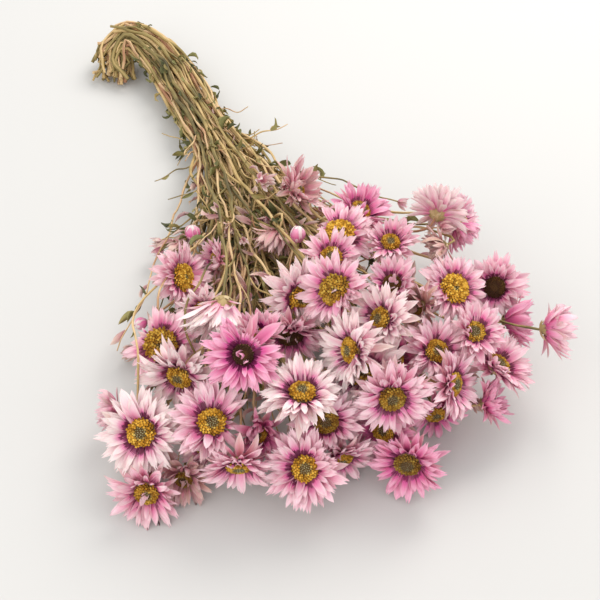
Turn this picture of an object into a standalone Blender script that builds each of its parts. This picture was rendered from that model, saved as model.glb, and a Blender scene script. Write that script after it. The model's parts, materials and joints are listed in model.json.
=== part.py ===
"""A bunch of dried rhodanthe, the pink paper daisy, lying on its side.

The stems run along +Y to their hooked cut ends, and the heads fan out towards -Y.
The tables are in millimetres and degrees, and the meshes in metres.
"""

import math
import random

import bmesh
import bpy
from mathutils import Matrix, Vector
from mathutils.bvhtree import BVHTree

MM = 0.001
SEED = 11

# A blade is a bract or a leaf, measured at its root. Two heads keep GAP between them.
BLADE = 0.8
GAP = 0.4
SEAT_GAP = 0.3
# How far below the surface the pieces that rest on it are cut off flat.
SUNK = 0.2

# Every head, with the middle of its disc at x, y, z.
# turn: which way it faces seen from above, 0 to -Y and 90 to +X.
# tilt: how far it faces above the level. reach: its radius if it were opened flat.
HEADS = [
    # x, y, z, turn, tilt, reach, form, tint
    (13, -75, 20, -40, 10, 22, "open", "rose"),
    (-37, -66, 30, -20, 50, 22, "open", "pink"),
    (-15, -60, 14, 0, -10, 20, "open", "pink"),
    (12, -56, 50, -15, 15, 22, "open", "pink"),
    (8, -56, 28, -45, 35, 20, "open", "rose"),
    (-67, -55, 28, -20, -15, 21, "open", "pink"),
    (69, -55, 26, 70, 30, 16, "cup", "rose"),
    (-21, -52, 42, -15, 35, 21, "open", "pink"),
    (50, -51, 42, 45, 25, 20, "open", "pink"),
    (42, -48, 16, -5, -5, 18, "small", "rose"),
    (-112, -44, 14, -20, 20, 21, "half", "pink"),
    (-54, -44, 36, -20, 30, 19, "cup", "rose"),
    (79, -42, 38, 55, 60, 21, "open", "pink"),
    (-29, -40, 58, 160, 90, 24, "open", "pale"),
    (3, -40, 58, -66, 61, 24, "open", "pale"),
    (-92, -39, 15, -20, 15, 18, "wilted", "pink"),
    (112, -37, 45, 65, 0, 21, "bell", "pink"),
    (47, -33, 50, 15, 55, 20, "open", "pink"),
    (-73, -32, 42, -5, 60, 23, "open", "pink"),
    (68, -30, 54, -30, 65, 18, "open", "pink"),
    (-80, -30, 20, -70, 15, 16, "cup", "pink"),
    (-2, -29, 64, -85, 25, 22, "open", "pale"),
    (27, -27, 44, 20, 40, 18, "small", "rose"),
    (-107, -19, 32, -35, 45, 24, "open", "pale"),
    (99, -19, 38, 60, 10, 19, "bell", "rose"),
    (19, -16, 66, -80, 35, 21, "open", "pale"),
    (-47, -7, 55, -20, 42, 23, "open", "rose"),
    (46, -5, 54, -70, 15, 17, "wilted", "pink"),
    (-40, -4, 66, -20, 75, 16, "cup", "pink"),
    (69, -4, 60, 15, 50, 20, "old", "pink"),
    (-22, -3, 52, -20, -10, 21, "open", "pink"),
    (94, 0, 48, -50, 35, 19, "open", "pink"),
    (-80, 8, 32, -35, 5, 22, "open", "pale"),
    (40, 9, 62, -22, 66, 17, "half", "pink"),
    (-14, 10, 64, 5, 25, 23, "open", "pale"),
    (-116, 10, 22, -105, 5, 15, "bell", "pink"),
    (8, 14, 60, -40, 40, 21, "old", "pink"),
    (-84, 23, 45, -25, 45, 22, "old", "pink"),
    (-52, 37, 42, -40, 10, 18, "small", "pale"),
    (78, 38, 48, -95, -15, 15, "wilted", "pink"),
    (-46, 20, 57, -25, -35, 24, "open", "pale"),
    (52, 43, 58, -20, 75, 18, "half", "pink"),
    (99, 49, 44, 25, -25, 16, "bell", "rose"),
    (21, 52, 46, -20, 65, 18, "small", "pink"),
    (28, 57, 60, -20, 75, 22, "old", "pink"),
    (-87, 57, 28, -75, 10, 4, "bud", "pale"),
    (105, 57, 48, 45, 35, 18, "open", "pink"),
    (89, 60, 56, 135, 10, 20, "open", "pale"),
    (11, 66, 56, 160, 65, 5, "bud", "pale"),
    (-56, 71, 40, 45, 35, 20, "old", "pink"),
    (48, 74, 58, 60, 70, 20, "half", "rose"),
    (-2, 80, 44, -45, -40, 18, "wilted", "pink"),
    (-38, 83, 38, -95, 35, 15, "cup", "pink"),
    (25, 112, 48, 50, 40, 20, "wilted", "pink"),
    (-38, 115, 30, 175, 55, 5, "bud", "pale"),
]

# How each form stands: bracts in a layer, the lift of the outer bracts above flat,
# how much more the inner ones lift, how uneven they are, and the disc's share of the reach.
FORMS = {
    "open": {"bracts": 10, "lift": 14, "step": 15, "uneven": 4, "disc": 0.3},
    "old": {"bracts": 10, "lift": 2, "step": 16, "uneven": 5, "disc": 0.39},
    "small": {"bracts": 8, "lift": 14, "step": 15, "uneven": 4, "disc": 0.32},
    "half": {"bracts": 8, "lift": 30, "step": 16, "uneven": 6, "disc": 0.29},
    "cup": {"bracts": 8, "lift": 48, "step": 15, "uneven": 5, "disc": 0.22},
    "bell": {"bracts": 8, "lift": 49, "step": 13, "uneven": 4, "disc": 0.19},
    "wilted": {"bracts": 8, "lift": 34, "step": 18, "uneven": 12, "disc": 0.25},
    "bud": {"bracts": 8},
}

# A head in its own frame faces +Z from the end of its stem. These are for a reach of FULL.
FULL = 22
SEAT_RADIUS = 1.5
CUP_RADIUS = 4.2
CUP_HEIGHT = 3.0
# The inner layer starts this much above the outer one and outside it.
LAYER_RISE = 1.5
LAYER_OUT = 0.6
# Bracts beside each other part at this share of their length, and their tips curl up by this angle.
NOTCH = 0.62
TIP_CURL = 4
# The disc's middle stands at DISC_HEIGHT, its rim DISC_DOME lower, with a ring of florets between.
DISC_HEIGHT = 9.0
DISC_DOME = 2.6
FLORET_RING = 0.62
FLORET_DROP = 0.5
FLORET_RELIEF = 0.35
# A bud's outline, as radius and height for a reach of one, from its stem to near its top.
BUD = [(0.25, 0.0), (0.8, 0.35), (1.0, 0.95), (0.6, 1.6)]
BUD_TOP = 1.9
BUD_SCALE_RELIEF = 0.12

# A bract in another's way takes the first of these that clears it: more lift, share of length.
BENDS = [(12, 0.98), (-12, 0.98), (24, 0.95), (-22, 0.95), (36, 0.92), (10, 0.75), (-8, 0.72),
         (50, 0.9), (62, 0.85), (30, 0.66), (-30, 0.66), (66, 0.6)]
FITTING_ROUNDS = 16
MOST_LIFT = 84
LEAST_LIFT = -40
# An inner bract lifts at least this much more than the outer ones beside it.
LEAST_STEP = 7
# A head whose disc's middle is no higher than this rests on the surface.
RESTING_BELOW = 16

# The heap is pressed together along the way that its top faces, so heads settle along it.
OUTWARD = Vector((-0.25, -0.63, 0.735))
SETTLE = [0, 2, -2, 4, -4, 6, -6, 9, -9, 12, -12, 15, -15, 19, -19, 24, 29]
# A head that finds no place is made this much smaller.
SMALLER = [1, 0.92, 0.84, 0.76]
SIDESTEP = [(0, 0), (2, 0), (-2, 0), (4, 1), (-4, 1), (3, -3), (-3, 3)]

# The bundle's middle line: x, y, z, its half width and half height.
SPINE = [
    (2, 206, 16, 16, 13),
    (1, 236, 13, 16, 12.5),
    (0, 266, 11.6, 16.5, 12.2),
    (-3, 296, 13, 15.5, 11.5),
    (-10, 321, 17, 14, 10.5),
    (-22, 334, 20, 12.5, 9.5),
    (-34, 331, 16, 11.5, 9),
    (-38, 321, 9.5, 11, 8),
]
STEMS = 28
STEM_RADIUS = 1.1
FLUTE = 1.3
STALK_RADIUS = 0.75
CUT_END = 12
CUT_ENDS = 16
# How deep a stem or a stalk is sunk in what carries it.
ROOT = 2.5
# Where the stems part into stalks: a flattened fan this far along, wide and high.
FORK = {"x": 2, "y": 158, "z": 21, "half_width": 29, "half_height": 16, "stagger": 16}

# The stalk's ways round what stands before it: a pull on its two ends, and a sag, sidewise and down.
PULLS = [(26, 50), (16, 70), (38, 36), (12, 30)]
SAGS = [(0, 0), (0, -8), (0, -16), (7, -6), (-7, -6), (12, -14), (-12, -14), (0, 6), (16, 0), (-16, 0),
        (0, -26), (20, -20), (-20, -20)]
STALK_STEPS = 4
# The straight stretch behind a head, and how closely a stalk's way is tested.
NECK = 3
TEST_STEP = 1.6

# The larger leaves: where each points to, its length, width and droop.
LARGE_LEAVES = [
    (14, 232, 32, 20, 8, 4),
    (-74, 72, 35, 19, 7, 3),
    (55, 112, 45, 20, 8, -3),
]
LEAVES = 28
# Where a leaf is measured along its length, and its width there. Its rib lies lower than its edges.
LEAF_STATIONS = [(0.25, 0.7), (0.55, 1.0), (0.82, 0.6)]
LEAF_FOLD = 0.12
LEAF_LENGTH = (11, 21)
LEAF_WIDTH = (4, 7)

SOLVER = "MANIFOLD"
TINTS = {"pale": "E9CBD6", "pink": "DDA0C0", "rose": "C9659B"}
DISC_COLOUR = "C0922A"
STEM_COLOUR = "B4985F"
LEAF_COLOUR = "59603A"


def linear(colour):
    """An sRGB hex colour as Blender's linear one."""
    channels = [int(colour[i : i + 2], 16) / 255 for i in (0, 2, 4)]
    return [c / 12.92 if c <= 0.04045 else ((c + 0.055) / 1.055) ** 2.4 for c in channels] + [1]


def material(name, colour, roughness):
    made = bpy.data.materials.new(name)
    made.use_nodes = True
    shader = made.node_tree.nodes["Principled BSDF"]
    shader.inputs["Base Color"].default_value = linear(colour)
    shader.inputs["Roughness"].default_value = roughness
    shader.inputs["Metallic"].default_value = 0
    return made


# What a face of a disc or a leaf belongs to. A bract's face has its number, and a root's two.
DISC = ("disc",)
LEAF = ("leaf",)


def polar(radius, height, angle):
    return Vector((radius * math.cos(angle), radius * math.sin(angle), height))


class Body:
    """Corners and three-cornered faces, with what each face belongs to."""

    def __init__(self):
        self.corners = []
        self.faces = []
        self.owners = []

    def corner(self, place):
        self.corners.append(place)
        return len(self.corners) - 1

    def face(self, a, b, c, owner=()):
        self.faces.append((a, b, c))
        self.owners.append(owner)

    def ring(self, radius, height, phase, count):
        return [self.corner(polar(radius, height, phase + i * math.tau / count)) for i in range(count)]

    def band(self, low, high, owners=None):
        """Joins two rings whose corners stand at the same angles, or half a step on."""
        count = len(low)
        for i in range(count):
            j = (i + 1) % count
            self.face(low[i], low[j], high[i], owners[i] if owners else ())
            self.face(low[j], high[j], high[i], owners[j] if owners else ())

    def moved(self, frame):
        return [frame @ corner for corner in self.corners]


def head_shape(form, reach, rng):
    """The driving sizes of one head, with each bract's own lift and length."""
    kind = FORMS[form]
    count = kind["bracts"]
    shape = {"form": form, "count": count, "reach": reach, "size": reach / FULL}
    if form == "bud":
        return shape
    length = reach - CUP_RADIUS * shape["size"]
    shape["disc"] = kind["disc"] * reach
    shape["lifts"] = [kind["lift"] + rng.uniform(-1, 1) * kind["uneven"] for _ in range(count)] + [
        kind["lift"] + kind["step"] + rng.uniform(-1, 1) * kind["uneven"] for _ in range(count)
    ]
    shape["lengths"] = [length * rng.uniform(0.92, 1.05) for _ in range(count)] + [
        length * rng.uniform(0.82, 0.95) for _ in range(count)
    ]
    tidy_lifts(shape)
    return shape


def bract_layer(body, layer, inner, phase, radius, height, shape, thick, longer):
    """One layer of pointed bracts, grown together at their roots.

    It starts from the ring inner, and returns the ring where its upper face ends.
    """
    count = shape["count"]
    step = math.tau / count
    lifts = shape["lifts"][layer * count : (layer + 1) * count]
    lengths = shape["lengths"][layer * count : (layer + 1) * count]
    under, upper, tips, between = [], [], [], []
    for i in range(count):
        after = (i + 1) % count
        between.append((layer * count + i, layer * count + after))
        lift = math.radians((lifts[i] + lifts[after]) / 2)
        out = NOTCH * (lengths[i] + lengths[after]) / 2
        across = polar(-thick / 2 * math.sin(lift), thick / 2 * math.cos(lift), phase + (i + 0.5) * step)
        notch = polar(radius + out * math.cos(lift), height + out * math.sin(lift), phase + (i + 0.5) * step)
        under.append(body.corner(notch - across))
        upper.append(body.corner(notch + across))
        lift = math.radians(lifts[i] + TIP_CURL)
        out = lengths[i] + longer
        tips.append(
            body.corner(polar(radius + out * math.cos(lift), height + out * math.sin(lift), phase + i * step))
        )
    body.band(inner, under, between)
    for i in range(count):
        owner = (layer * count + i,)
        body.face(under[i - 1], under[i], tips[i], owner)
        body.face(upper[i], upper[i - 1], tips[i], owner)
        body.face(under[i], upper[i], tips[i], owner)
        body.face(upper[i - 1], under[i - 1], tips[i], owner)
    return upper, between


def flower(shape, grow):
    """A head of two layers of bracts round a domed disc. grow is how much fatter it is made."""
    body = Body()
    count, size = shape["count"], shape["size"]
    step = math.tau / count
    seat = body.ring(SEAT_RADIUS * size, 0, 0, count // 2)
    cup = body.ring(CUP_RADIUS * size + grow / 2, CUP_HEIGHT * size - grow / 2, 0, count)
    for i in range(1, count // 2 - 1):
        body.face(seat[0], seat[i + 1], seat[i])
    for i in range(count // 2):
        after = (i + 1) % (count // 2)
        body.face(seat[i], cup[2 * i + 1], cup[2 * i])
        body.face(seat[i], seat[after], cup[2 * i + 1])
        body.face(seat[after], cup[(2 * i + 2) % count], cup[2 * i + 1])
    thick = BLADE + grow
    outer, roots = bract_layer(
        body, 0, cup, -step / 2, CUP_RADIUS * size, CUP_HEIGHT * size, shape, thick, grow / 2
    )
    rise = (CUP_HEIGHT + LAYER_RISE) * size
    waist = (CUP_RADIUS + LAYER_OUT) * size
    groove = body.ring(waist, rise, 0, count)
    body.band(outer, groove, roots)
    inner, _ = bract_layer(body, 1, groove, 0, waist, rise, shape, thick, grow / 2)
    top = DISC_HEIGHT * size + grow / 2
    rim = body.ring(shape["disc"], top - DISC_DOME * size, step / 2, count)
    body.band(inner, rim)
    crown = [
        body.corner(
            polar(
                shape["disc"] * FLORET_RING,
                top - FLORET_DROP * size + (FLORET_RELIEF if i % 2 else -FLORET_RELIEF),
                (i + 0.5) * step,
            )
        )
        for i in range(count)
    ]
    body.band(rim, crown, [DISC] * count)
    middle = body.corner(Vector((0, 0, top)))
    for i in range(count):
        body.face(crown[i], crown[(i + 1) % count], middle, DISC)
    return body


def bud(shape, grow):
    """A closed bud under its papery scales."""
    body = Body()
    count, reach = shape["count"], shape["reach"]
    rings = []
    for level, (radius, height) in enumerate(BUD):
        ring = []
        for i in range(count):
            relief = BUD_SCALE_RELIEF if (i + level) % 2 and level else 0
            spot = polar(reach * (radius + relief) + grow / 2, reach * height, i * math.tau / count)
            ring.append(body.corner(spot))
        rings.append(ring)
    hub = body.corner(Vector((0, 0, 0)))
    top = body.corner(Vector((0, 0, reach * BUD_TOP + grow / 2)))
    for i in range(count):
        j = (i + 1) % count
        body.face(rings[0][j], rings[0][i], hub)
        body.face(rings[-1][i], rings[-1][j], top)
    for low, high in zip(rings, rings[1:]):
        body.band(low, high)
    return body


def head_body(shape, grow=0.0):
    return bud(shape, grow) if shape["form"] == "bud" else flower(shape, grow)


def facing(turn, tilt):
    turn, tilt = math.radians(turn), math.radians(tilt)
    return Vector(
        (math.sin(turn) * math.cos(tilt), -math.cos(turn) * math.cos(tilt), math.sin(tilt))
    )


def head_frame(place, way, roll, shape):
    """Where a head stands: its stem's end is behind its disc's middle."""
    tall = shape["reach"] if shape["form"] == "bud" else DISC_HEIGHT * shape["size"]
    turned = way.to_track_quat("Z", "Y").to_matrix().to_4x4() @ Matrix.Rotation(roll, 4, "Z")
    return Matrix.Translation(place - way * tall) @ turned


def tube(points, radii, sides, turn=0.0):
    """A closed tube through the points, with flat ends square to its first and last stretch."""
    body = Body()
    ways = [(b - a).normalized() for a, b in zip(points, points[1:])]
    side = ways[0].orthogonal().normalized()
    rings = []
    for k, point in enumerate(points):
        way = ways[0] if k == 0 else ways[-1] if k == len(ways) else (ways[k - 1] + ways[k]).normalized()
        side = (side - side.dot(way) * way).normalized()
        other = way.cross(side)
        rings.append(
            [
                body.corner(
                    point
                    + radii[k]
                    * (
                        side * math.cos(turn + i * math.tau / sides)
                        + other * math.sin(turn + i * math.tau / sides)
                    )
                )
                for i in range(sides)
            ]
        )
    for low, high in zip(rings, rings[1:]):
        body.band(low, high)
    for ring, back in ((rings[0], True), (rings[-1], False)):
        for i in range(1, sides - 1):
            if back:
                body.face(ring[0], ring[i + 1], ring[i])
            else:
                body.face(ring[0], ring[i], ring[i + 1])
    return body


def tree_of(corners, faces):
    return BVHTree.FromPolygons(corners, faces)


def hermite(start, start_way, end, end_way, t):
    a, b = 2 * t**3 - 3 * t**2 + 1, t**3 - 2 * t**2 + t
    c, d = -2 * t**3 + 3 * t**2, t**3 - t**2
    return a * start + b * start_way + c * end + d * end_way


def fork_spot(stem):
    """Where a stem of the bundle parts into its stalks."""
    angle = stem * math.tau / STEMS
    share = (1.0, 0.5, 0.85)[stem % 3]
    lag = FORK["stagger"] * (0.5, -1.0, 1.0, -0.4, 0.1)[stem % 5]
    return Vector(
        (
            FORK["x"] + FORK["half_width"] * share * math.cos(angle),
            FORK["y"] + lag,
            FORK["z"] + FORK["half_height"] * share * math.sin(angle),
        )
    )


def stalk_points(seat, way, fork, pull, sag):
    """A stalk's corners, from a fork to the back of its head."""
    start_way = Vector((0, -1, 0)) * pull[1] * 2
    end_way = way * pull[0] * 2
    end = seat - way * SEAT_GAP
    neck = end - way * NECK
    points = []
    for k in range(STALK_STEPS):
        t = k / STALK_STEPS
        spot = hermite(fork + Vector((0, ROOT, 0)), start_way, neck, end_way, t)
        bow = math.sin(math.pi * t)
        spot += Vector((sag[0] * bow, 0, sag[1] * bow))
        spot.z = max(spot.z, STALK_RADIUS + GAP)
        points.append(spot)
    return points + [neck, end]


def segment_clear(a, b, obstacles, keep):
    steps = max(2, int((b - a).length / TEST_STEP))
    for i in range(steps + 1):
        spot = a.lerp(b, i / steps)
        for tree, middle, reach in obstacles:
            if (spot - middle).length > reach + keep:
                continue
            if tree.find_nearest(spot, keep)[0] is not None:
                return False
    return True


def stalk_route(seat, way, fork, heads):
    """The first way from the fork to the head that keeps clear of the other heads, or None."""
    keep = STALK_RADIUS + GAP
    for sag in SAGS:
        for pull in PULLS:
            points = stalk_points(seat, way, fork, pull, sag)
            near = points[::-1]
            if all(segment_clear(a, b, heads, keep) for a, b in zip(near, near[1:])):
                return points
    return None


def tidy_lifts(shape):
    """Inner bracts stay above the outer ones they stand between."""
    count = shape["count"]
    for i in range(count):
        least = max(shape["lifts"][i], shape["lifts"][(i + 1) % count]) + LEAST_STEP
        k = count + i
        shape["lifts"][k] = max(shape["lifts"][k], least)
        shape["lifts"][k] = min(shape["lifts"][k], MOST_LIFT + LEAST_STEP)


def fitted(shape, frame, obstacles):
    """Bends the bracts that are in the way. Returns the fitted shape and the number bent, or None."""
    base = {**shape, "lifts": list(shape.get("lifts", ())), "lengths": list(shape.get("lengths", ()))}
    tried = {}
    current = base
    for _ in range(FITTING_ROUNDS):
        body = head_body(current, GAP)
        corners = body.moved(frame)
        hits = set()
        for index, corner in enumerate(corners):
            if corner.z < -SUNK - GAP / 2:
                for face, owner in zip(body.faces, body.owners):
                    if index in face:
                        hits.add(owner)
        tree = tree_of(corners, body.faces)
        for other, _, _ in obstacles:
            hits.update(body.owners[i] for i, _ in tree.overlap(other))
        if not hits:
            return current, len(tried)
        if () in hits or DISC in hits:
            return None
        bracts = {k for owner in hits for k in owner}
        single = {owner[0] for owner in hits if len(owner) == 1}
        current = {**base, "lifts": list(base["lifts"]), "lengths": list(base["lengths"])}
        for k in single or bracts:
            tried[k] = tried.get(k, -1) + 1
        for k, turn in tried.items():
            if turn >= len(BENDS):
                return None
            lift, share = BENDS[turn]
            current["lifts"][k] = max(LEAST_LIFT, min(MOST_LIFT, base["lifts"][k] + lift))
            current["lengths"][k] = base["lengths"][k] * share
        tidy_lifts(current)
    return None


def spine_frames():
    """Places across the bundle: middle, sideways and upward arms, along its middle line."""
    frames = []
    spots = [Vector(row[:3]) for row in SPINE]
    for k, row in enumerate(SPINE):
        way = (spots[min(k + 1, len(spots) - 1)] - spots[max(k - 1, 0)]).normalized()
        aside = way.cross(Vector((0, 0, 1))).normalized()
        frames.append((spots[k], way, aside * row[3], aside.cross(way) * row[4]))
    return frames


def bundle():
    """The stems where they are pressed together, as one fluted bar."""
    body = Body()
    rings = []
    for middle, _, aside, upward in spine_frames():
        ring = []
        for i in range(2 * STEMS):
            angle = i * math.pi / STEMS
            spot = aside * math.cos(angle) + upward * math.sin(angle)
            short = 0 if i % 2 == 0 else FLUTE / spot.length
            ring.append(body.corner(middle + spot * (1 - short)))
        rings.append(ring)
    for low, high in zip(rings, rings[1:]):
        body.band(low, high)
    for ring, back in ((rings[0], True), (rings[-1], False)):
        spot = sum((body.corners[c] for c in ring), Vector()) / len(ring)
        hub = body.corner(spot)
        for i in range(len(ring)):
            j = (i + 1) % len(ring)
            if back:
                body.face(ring[j], ring[i], hub)
            else:
                body.face(ring[i], ring[j], hub)
    return body


def bundle_spot(frame, stem, share):
    middle, _, aside, upward = frame
    angle = stem * math.tau / STEMS
    return middle + share * (aside * math.cos(angle) + upward * math.sin(angle))


def leaf(base, way, up, length, width, droop):
    """A narrow arched leaf, its base sunk in the stem that carries it."""
    body = Body()
    aside = way.cross(up).normalized()
    up = aside.cross(way).normalized()
    rings = []
    for along, wide in LEAF_STATIONS:
        middle = base + way * length * along + up * droop * (0.25 - (along - 0.5) ** 2) * 2
        half, rib = aside * width / 2 * wide, middle - up * width * LEAF_FOLD
        thick = up * BLADE / 2
        rings.append([body.corner(spot) for spot in (middle - half, rib - thick, middle + half, rib + thick)])
    root = body.corner(base)
    tip = body.corner(base + way * length - up * droop * 0.25)
    for i in range(4):
        j = (i + 1) % 4
        body.face(root, rings[0][j], rings[0][i], LEAF)
        body.face(rings[-1][i], rings[-1][j], tip, LEAF)
    for low, high in zip(rings, rings[1:]):
        body.band(low, high, [LEAF] * 4)
    return body


def in_metres(frame):
    """A frame in millimetres as one in metres."""
    placed = frame.copy()
    placed.translation = frame.translation * MM
    return placed


def piece_of(name, body, slots, frame=None):
    """A closed object in metres, with its faces turned outwards. Discs and leaves take the second slot."""
    bm = bmesh.new()
    made = [bm.verts.new(corner * MM) for corner in body.corners]
    for face, owner in zip(body.faces, body.owners):
        bm.faces.new([made[c] for c in face]).material_index = 1 if owner in (DISC, LEAF) else 0
    bmesh.ops.recalc_face_normals(bm, faces=bm.faces)
    mesh = bpy.data.meshes.new(name)
    bm.to_mesh(mesh)
    bm.free()
    for slot in slots:
        mesh.materials.append(slot)
    piece = bpy.data.objects.new(name, mesh)
    bpy.context.scene.collection.objects.link(piece)
    if frame is not None:
        piece.matrix_world = in_metres(frame)
    return piece


def cut_at_surface(piece):
    """Takes off what would lie below the surface, and leaves a flat spot there."""
    bpy.context.view_layer.update()
    if min((piece.matrix_world @ v.co).z for v in piece.data.vertices) > -1e-6:
        return
    inward = piece.matrix_world.inverted()
    bm = bmesh.new()
    bm.from_mesh(piece.data)
    bmesh.ops.bisect_plane(
        bm,
        geom=bm.verts[:] + bm.edges[:] + bm.faces[:],
        dist=1e-6,
        plane_co=inward @ Vector((0, 0, 0)),
        plane_no=inward.to_3x3() @ Vector((0, 0, 1)),
        clear_inner=True,
    )
    bmesh.ops.holes_fill(bm, edges=[edge for edge in bm.edges if edge.is_boundary], sides=0)
    bmesh.ops.triangulate(bm, faces=bm.faces)
    bmesh.ops.recalc_face_normals(bm, faces=bm.faces)
    bm.to_mesh(piece.data)
    bm.free()


def settled(place, way, roll, shape, fork, heads, stalks):
    """The best spot for one head near its place, with the bracts bent and the stalk routed."""
    best = None
    rests = place.z <= RESTING_BELOW and shape["form"] != "bud"
    for slide in SETTLE:
        for aside, ahead in SIDESTEP:
            spot = place + Vector((aside, ahead, 0)) + OUTWARD * slide
            frame = head_frame(spot, way, roll, shape)
            if rests:
                spot.z -= min(corner.z for corner in head_body(shape).moved(frame)) + SUNK * 0.9
                frame = head_frame(spot, way, roll, shape)
            near = [o for o in heads + stalks if (o[1] - spot).length < o[2] + shape["reach"] + 6]
            fit = fitted(shape, frame, near)
            if fit is None:
                continue
            route = stalk_route(frame @ Vector((0, 0, 0)), way, fork, heads)
            if route is None:
                continue
            cost = abs(slide) + 2 * (abs(aside) + abs(ahead)) + 0.8 * fit[1]
            if best is None or cost < best[0]:
                best = (cost, fit[0], frame, route)
            break
        if best and best[0] <= abs(slide) + 4:
            break
    return best


def settle_heads():
    """Places every head and its stalk, in turn, clear of all that stand already."""
    rng = random.Random(SEED)
    ranked = sorted(
        range(len(HEADS)),
        key=lambda k: math.atan2((HEADS[k][2] - 38) / 30, HEADS[k][0] / 110),
    )
    stem_of = {k: (place * STEMS // len(HEADS) + STEMS // 2) % STEMS for place, k in enumerate(ranked)}
    order = sorted(
        range(len(HEADS)), key=lambda k: (HEADS[k][2] > 20, -OUTWARD.dot(Vector(HEADS[k][:3])))
    )
    heads, stalks, placed = [], [], {}
    for k in order:
        x, y, z, turn, tilt, reach, form, tint = HEADS[k]
        best = None
        for smaller in SMALLER:
            shape = head_shape(form, reach * smaller, rng)
            roll = rng.uniform(0, math.tau)
            fork = fork_spot(stem_of[k])
            best = best or settled(Vector((x, y, z)), facing(turn, tilt), roll, shape, fork, heads, stalks)
        _, shape, frame, route = best
        body = head_body(shape, GAP)
        corners = body.moved(frame)
        middle = frame.translation
        heads.append((tree_of(corners, body.faces), middle, max((c - middle).length for c in corners)))
        thread = tube(route, [STALK_RADIUS + GAP] * len(route), 4)
        middle = sum(route, Vector()) / len(route)
        reach = max((c - middle).length for c in thread.corners)
        stalks.append((tree_of(thread.corners, thread.faces), middle, reach))
        placed[k] = {"shape": shape, "frame": frame, "route": route, "tint": tint, "stem": stem_of[k]}
    return placed, heads


def stem_lines(placed):
    """Each stem from inside the bundle to its first head, and each further stalk from its fork."""
    first = spine_frames()[0]
    lines = []
    for stem in range(STEMS):
        fork = fork_spot(stem)
        near = bundle_spot(first, stem, 0.9)
        leader = [near + first[1] * ROOT]
        leader += [hermite(fork, Vector((0, 30, 0)), near, first[1] * 30, t) for t in (0.7, 0.35)]
        routes = [placed[k]["route"] for k in sorted(placed) if placed[k]["stem"] == stem]
        lines.append((leader + routes[0], [STEM_RADIUS] * 4 + [STALK_RADIUS] * (len(routes[0]) - 1)))
        lines += [(route, [STALK_RADIUS] * len(route)) for route in routes[1:]]
    return lines


def cut_ends():
    """The ends that stick out of the bundle's hook."""
    rng = random.Random(SEED + 1)
    middle, way = spine_frames()[-1][:2]
    ends = []
    for turn in range(CUT_ENDS):
        leaving = bundle_spot(spine_frames()[-1], turn * STEMS / CUT_ENDS, 0.78 if turn % 2 else 0.4)
        end = leaving + way * CUT_END * rng.uniform(0.45, 1.1) + (leaving - middle) * rng.uniform(0, 0.5)
        end.z = max(end.z, STEM_RADIUS + 0.2)
        ends.append([leaving - way * ROOT, end])
    return ends


def nearest_on(lines, spot):
    """The nearest place on the lines, and the way that line runs there, away from the cut ends."""
    best = None
    for line in lines:
        for a, b in zip(line, line[1:]):
            run = b - a
            t = max(0, min(1, (spot - a).dot(run) / run.length_squared))
            place = a + run * t
            if best is None or (place - spot).length < best[0]:
                best = ((place - spot).length, place, run.normalized())
    return best[1], best[2]


def leaf_bodies(lines, heads):
    """Narrow leaves on the stems and stalks, wherever one stands clear of the heads."""
    rng = random.Random(SEED + 2)
    leaves = []
    wanted = [(Vector(row[:3]), row[3], row[4], row[5]) for row in LARGE_LEAVES]
    tries = 0
    while len(leaves) < LEAVES and tries < LEAVES * 12:
        tries += 1
        if wanted:
            spot, length, width, droop = wanted.pop()
            base, run = nearest_on(lines, spot)
            way = (spot - base).normalized() if (spot - base).length > 3 else run
        else:
            line = rng.choice(lines)
            k = rng.randrange(1, len(line) - 1)
            base = line[k].lerp(line[k + 1], rng.random())
            run = (line[k + 1] - line[k]).normalized()
            lean = Vector((rng.uniform(-1, 1), rng.uniform(-0.4, 0.4), rng.uniform(-0.2, 1)))
            way = (run * rng.choice((1, 1, -0.6)) + lean * 0.8).normalized()
            length, width = rng.uniform(*LEAF_LENGTH), rng.uniform(*LEAF_WIDTH)
            droop = rng.uniform(-0.25, 0.35) * length
        up = Vector((rng.uniform(-0.5, 0.5), 0, 1))
        made = leaf(base, way, up, length, width, droop)
        fat = leaf(base, way, up, length + GAP, width + 2 * GAP, droop)
        if min(corner.z for corner in made.corners) < GAP:
            continue
        tree = tree_of(fat.corners, fat.faces)
        if any(tree.overlap(head) for head, _, _ in heads):
            continue
        leaves.append(made)
    return leaves


def fused(name, first, others):
    """Joins pieces into one closed body, and keeps the first one's object."""
    group = bpy.data.collections.new("fused")
    bpy.context.scene.collection.children.link(group)
    for other in others:
        bpy.context.scene.collection.objects.unlink(other)
        group.objects.link(other)
    union = first.modifiers.new("union", "BOOLEAN")
    union.operation = "UNION"
    union.operand_type = "COLLECTION"
    union.collection = group
    union.solver = SOLVER
    evaluated = first.evaluated_get(bpy.context.evaluated_depsgraph_get())
    mesh = bpy.data.meshes.new_from_object(evaluated)
    first.modifiers.clear()
    first.data = mesh
    first.name = name
    for other in others:
        bpy.data.objects.remove(other)
    bpy.data.collections.remove(group)
    return first


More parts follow.
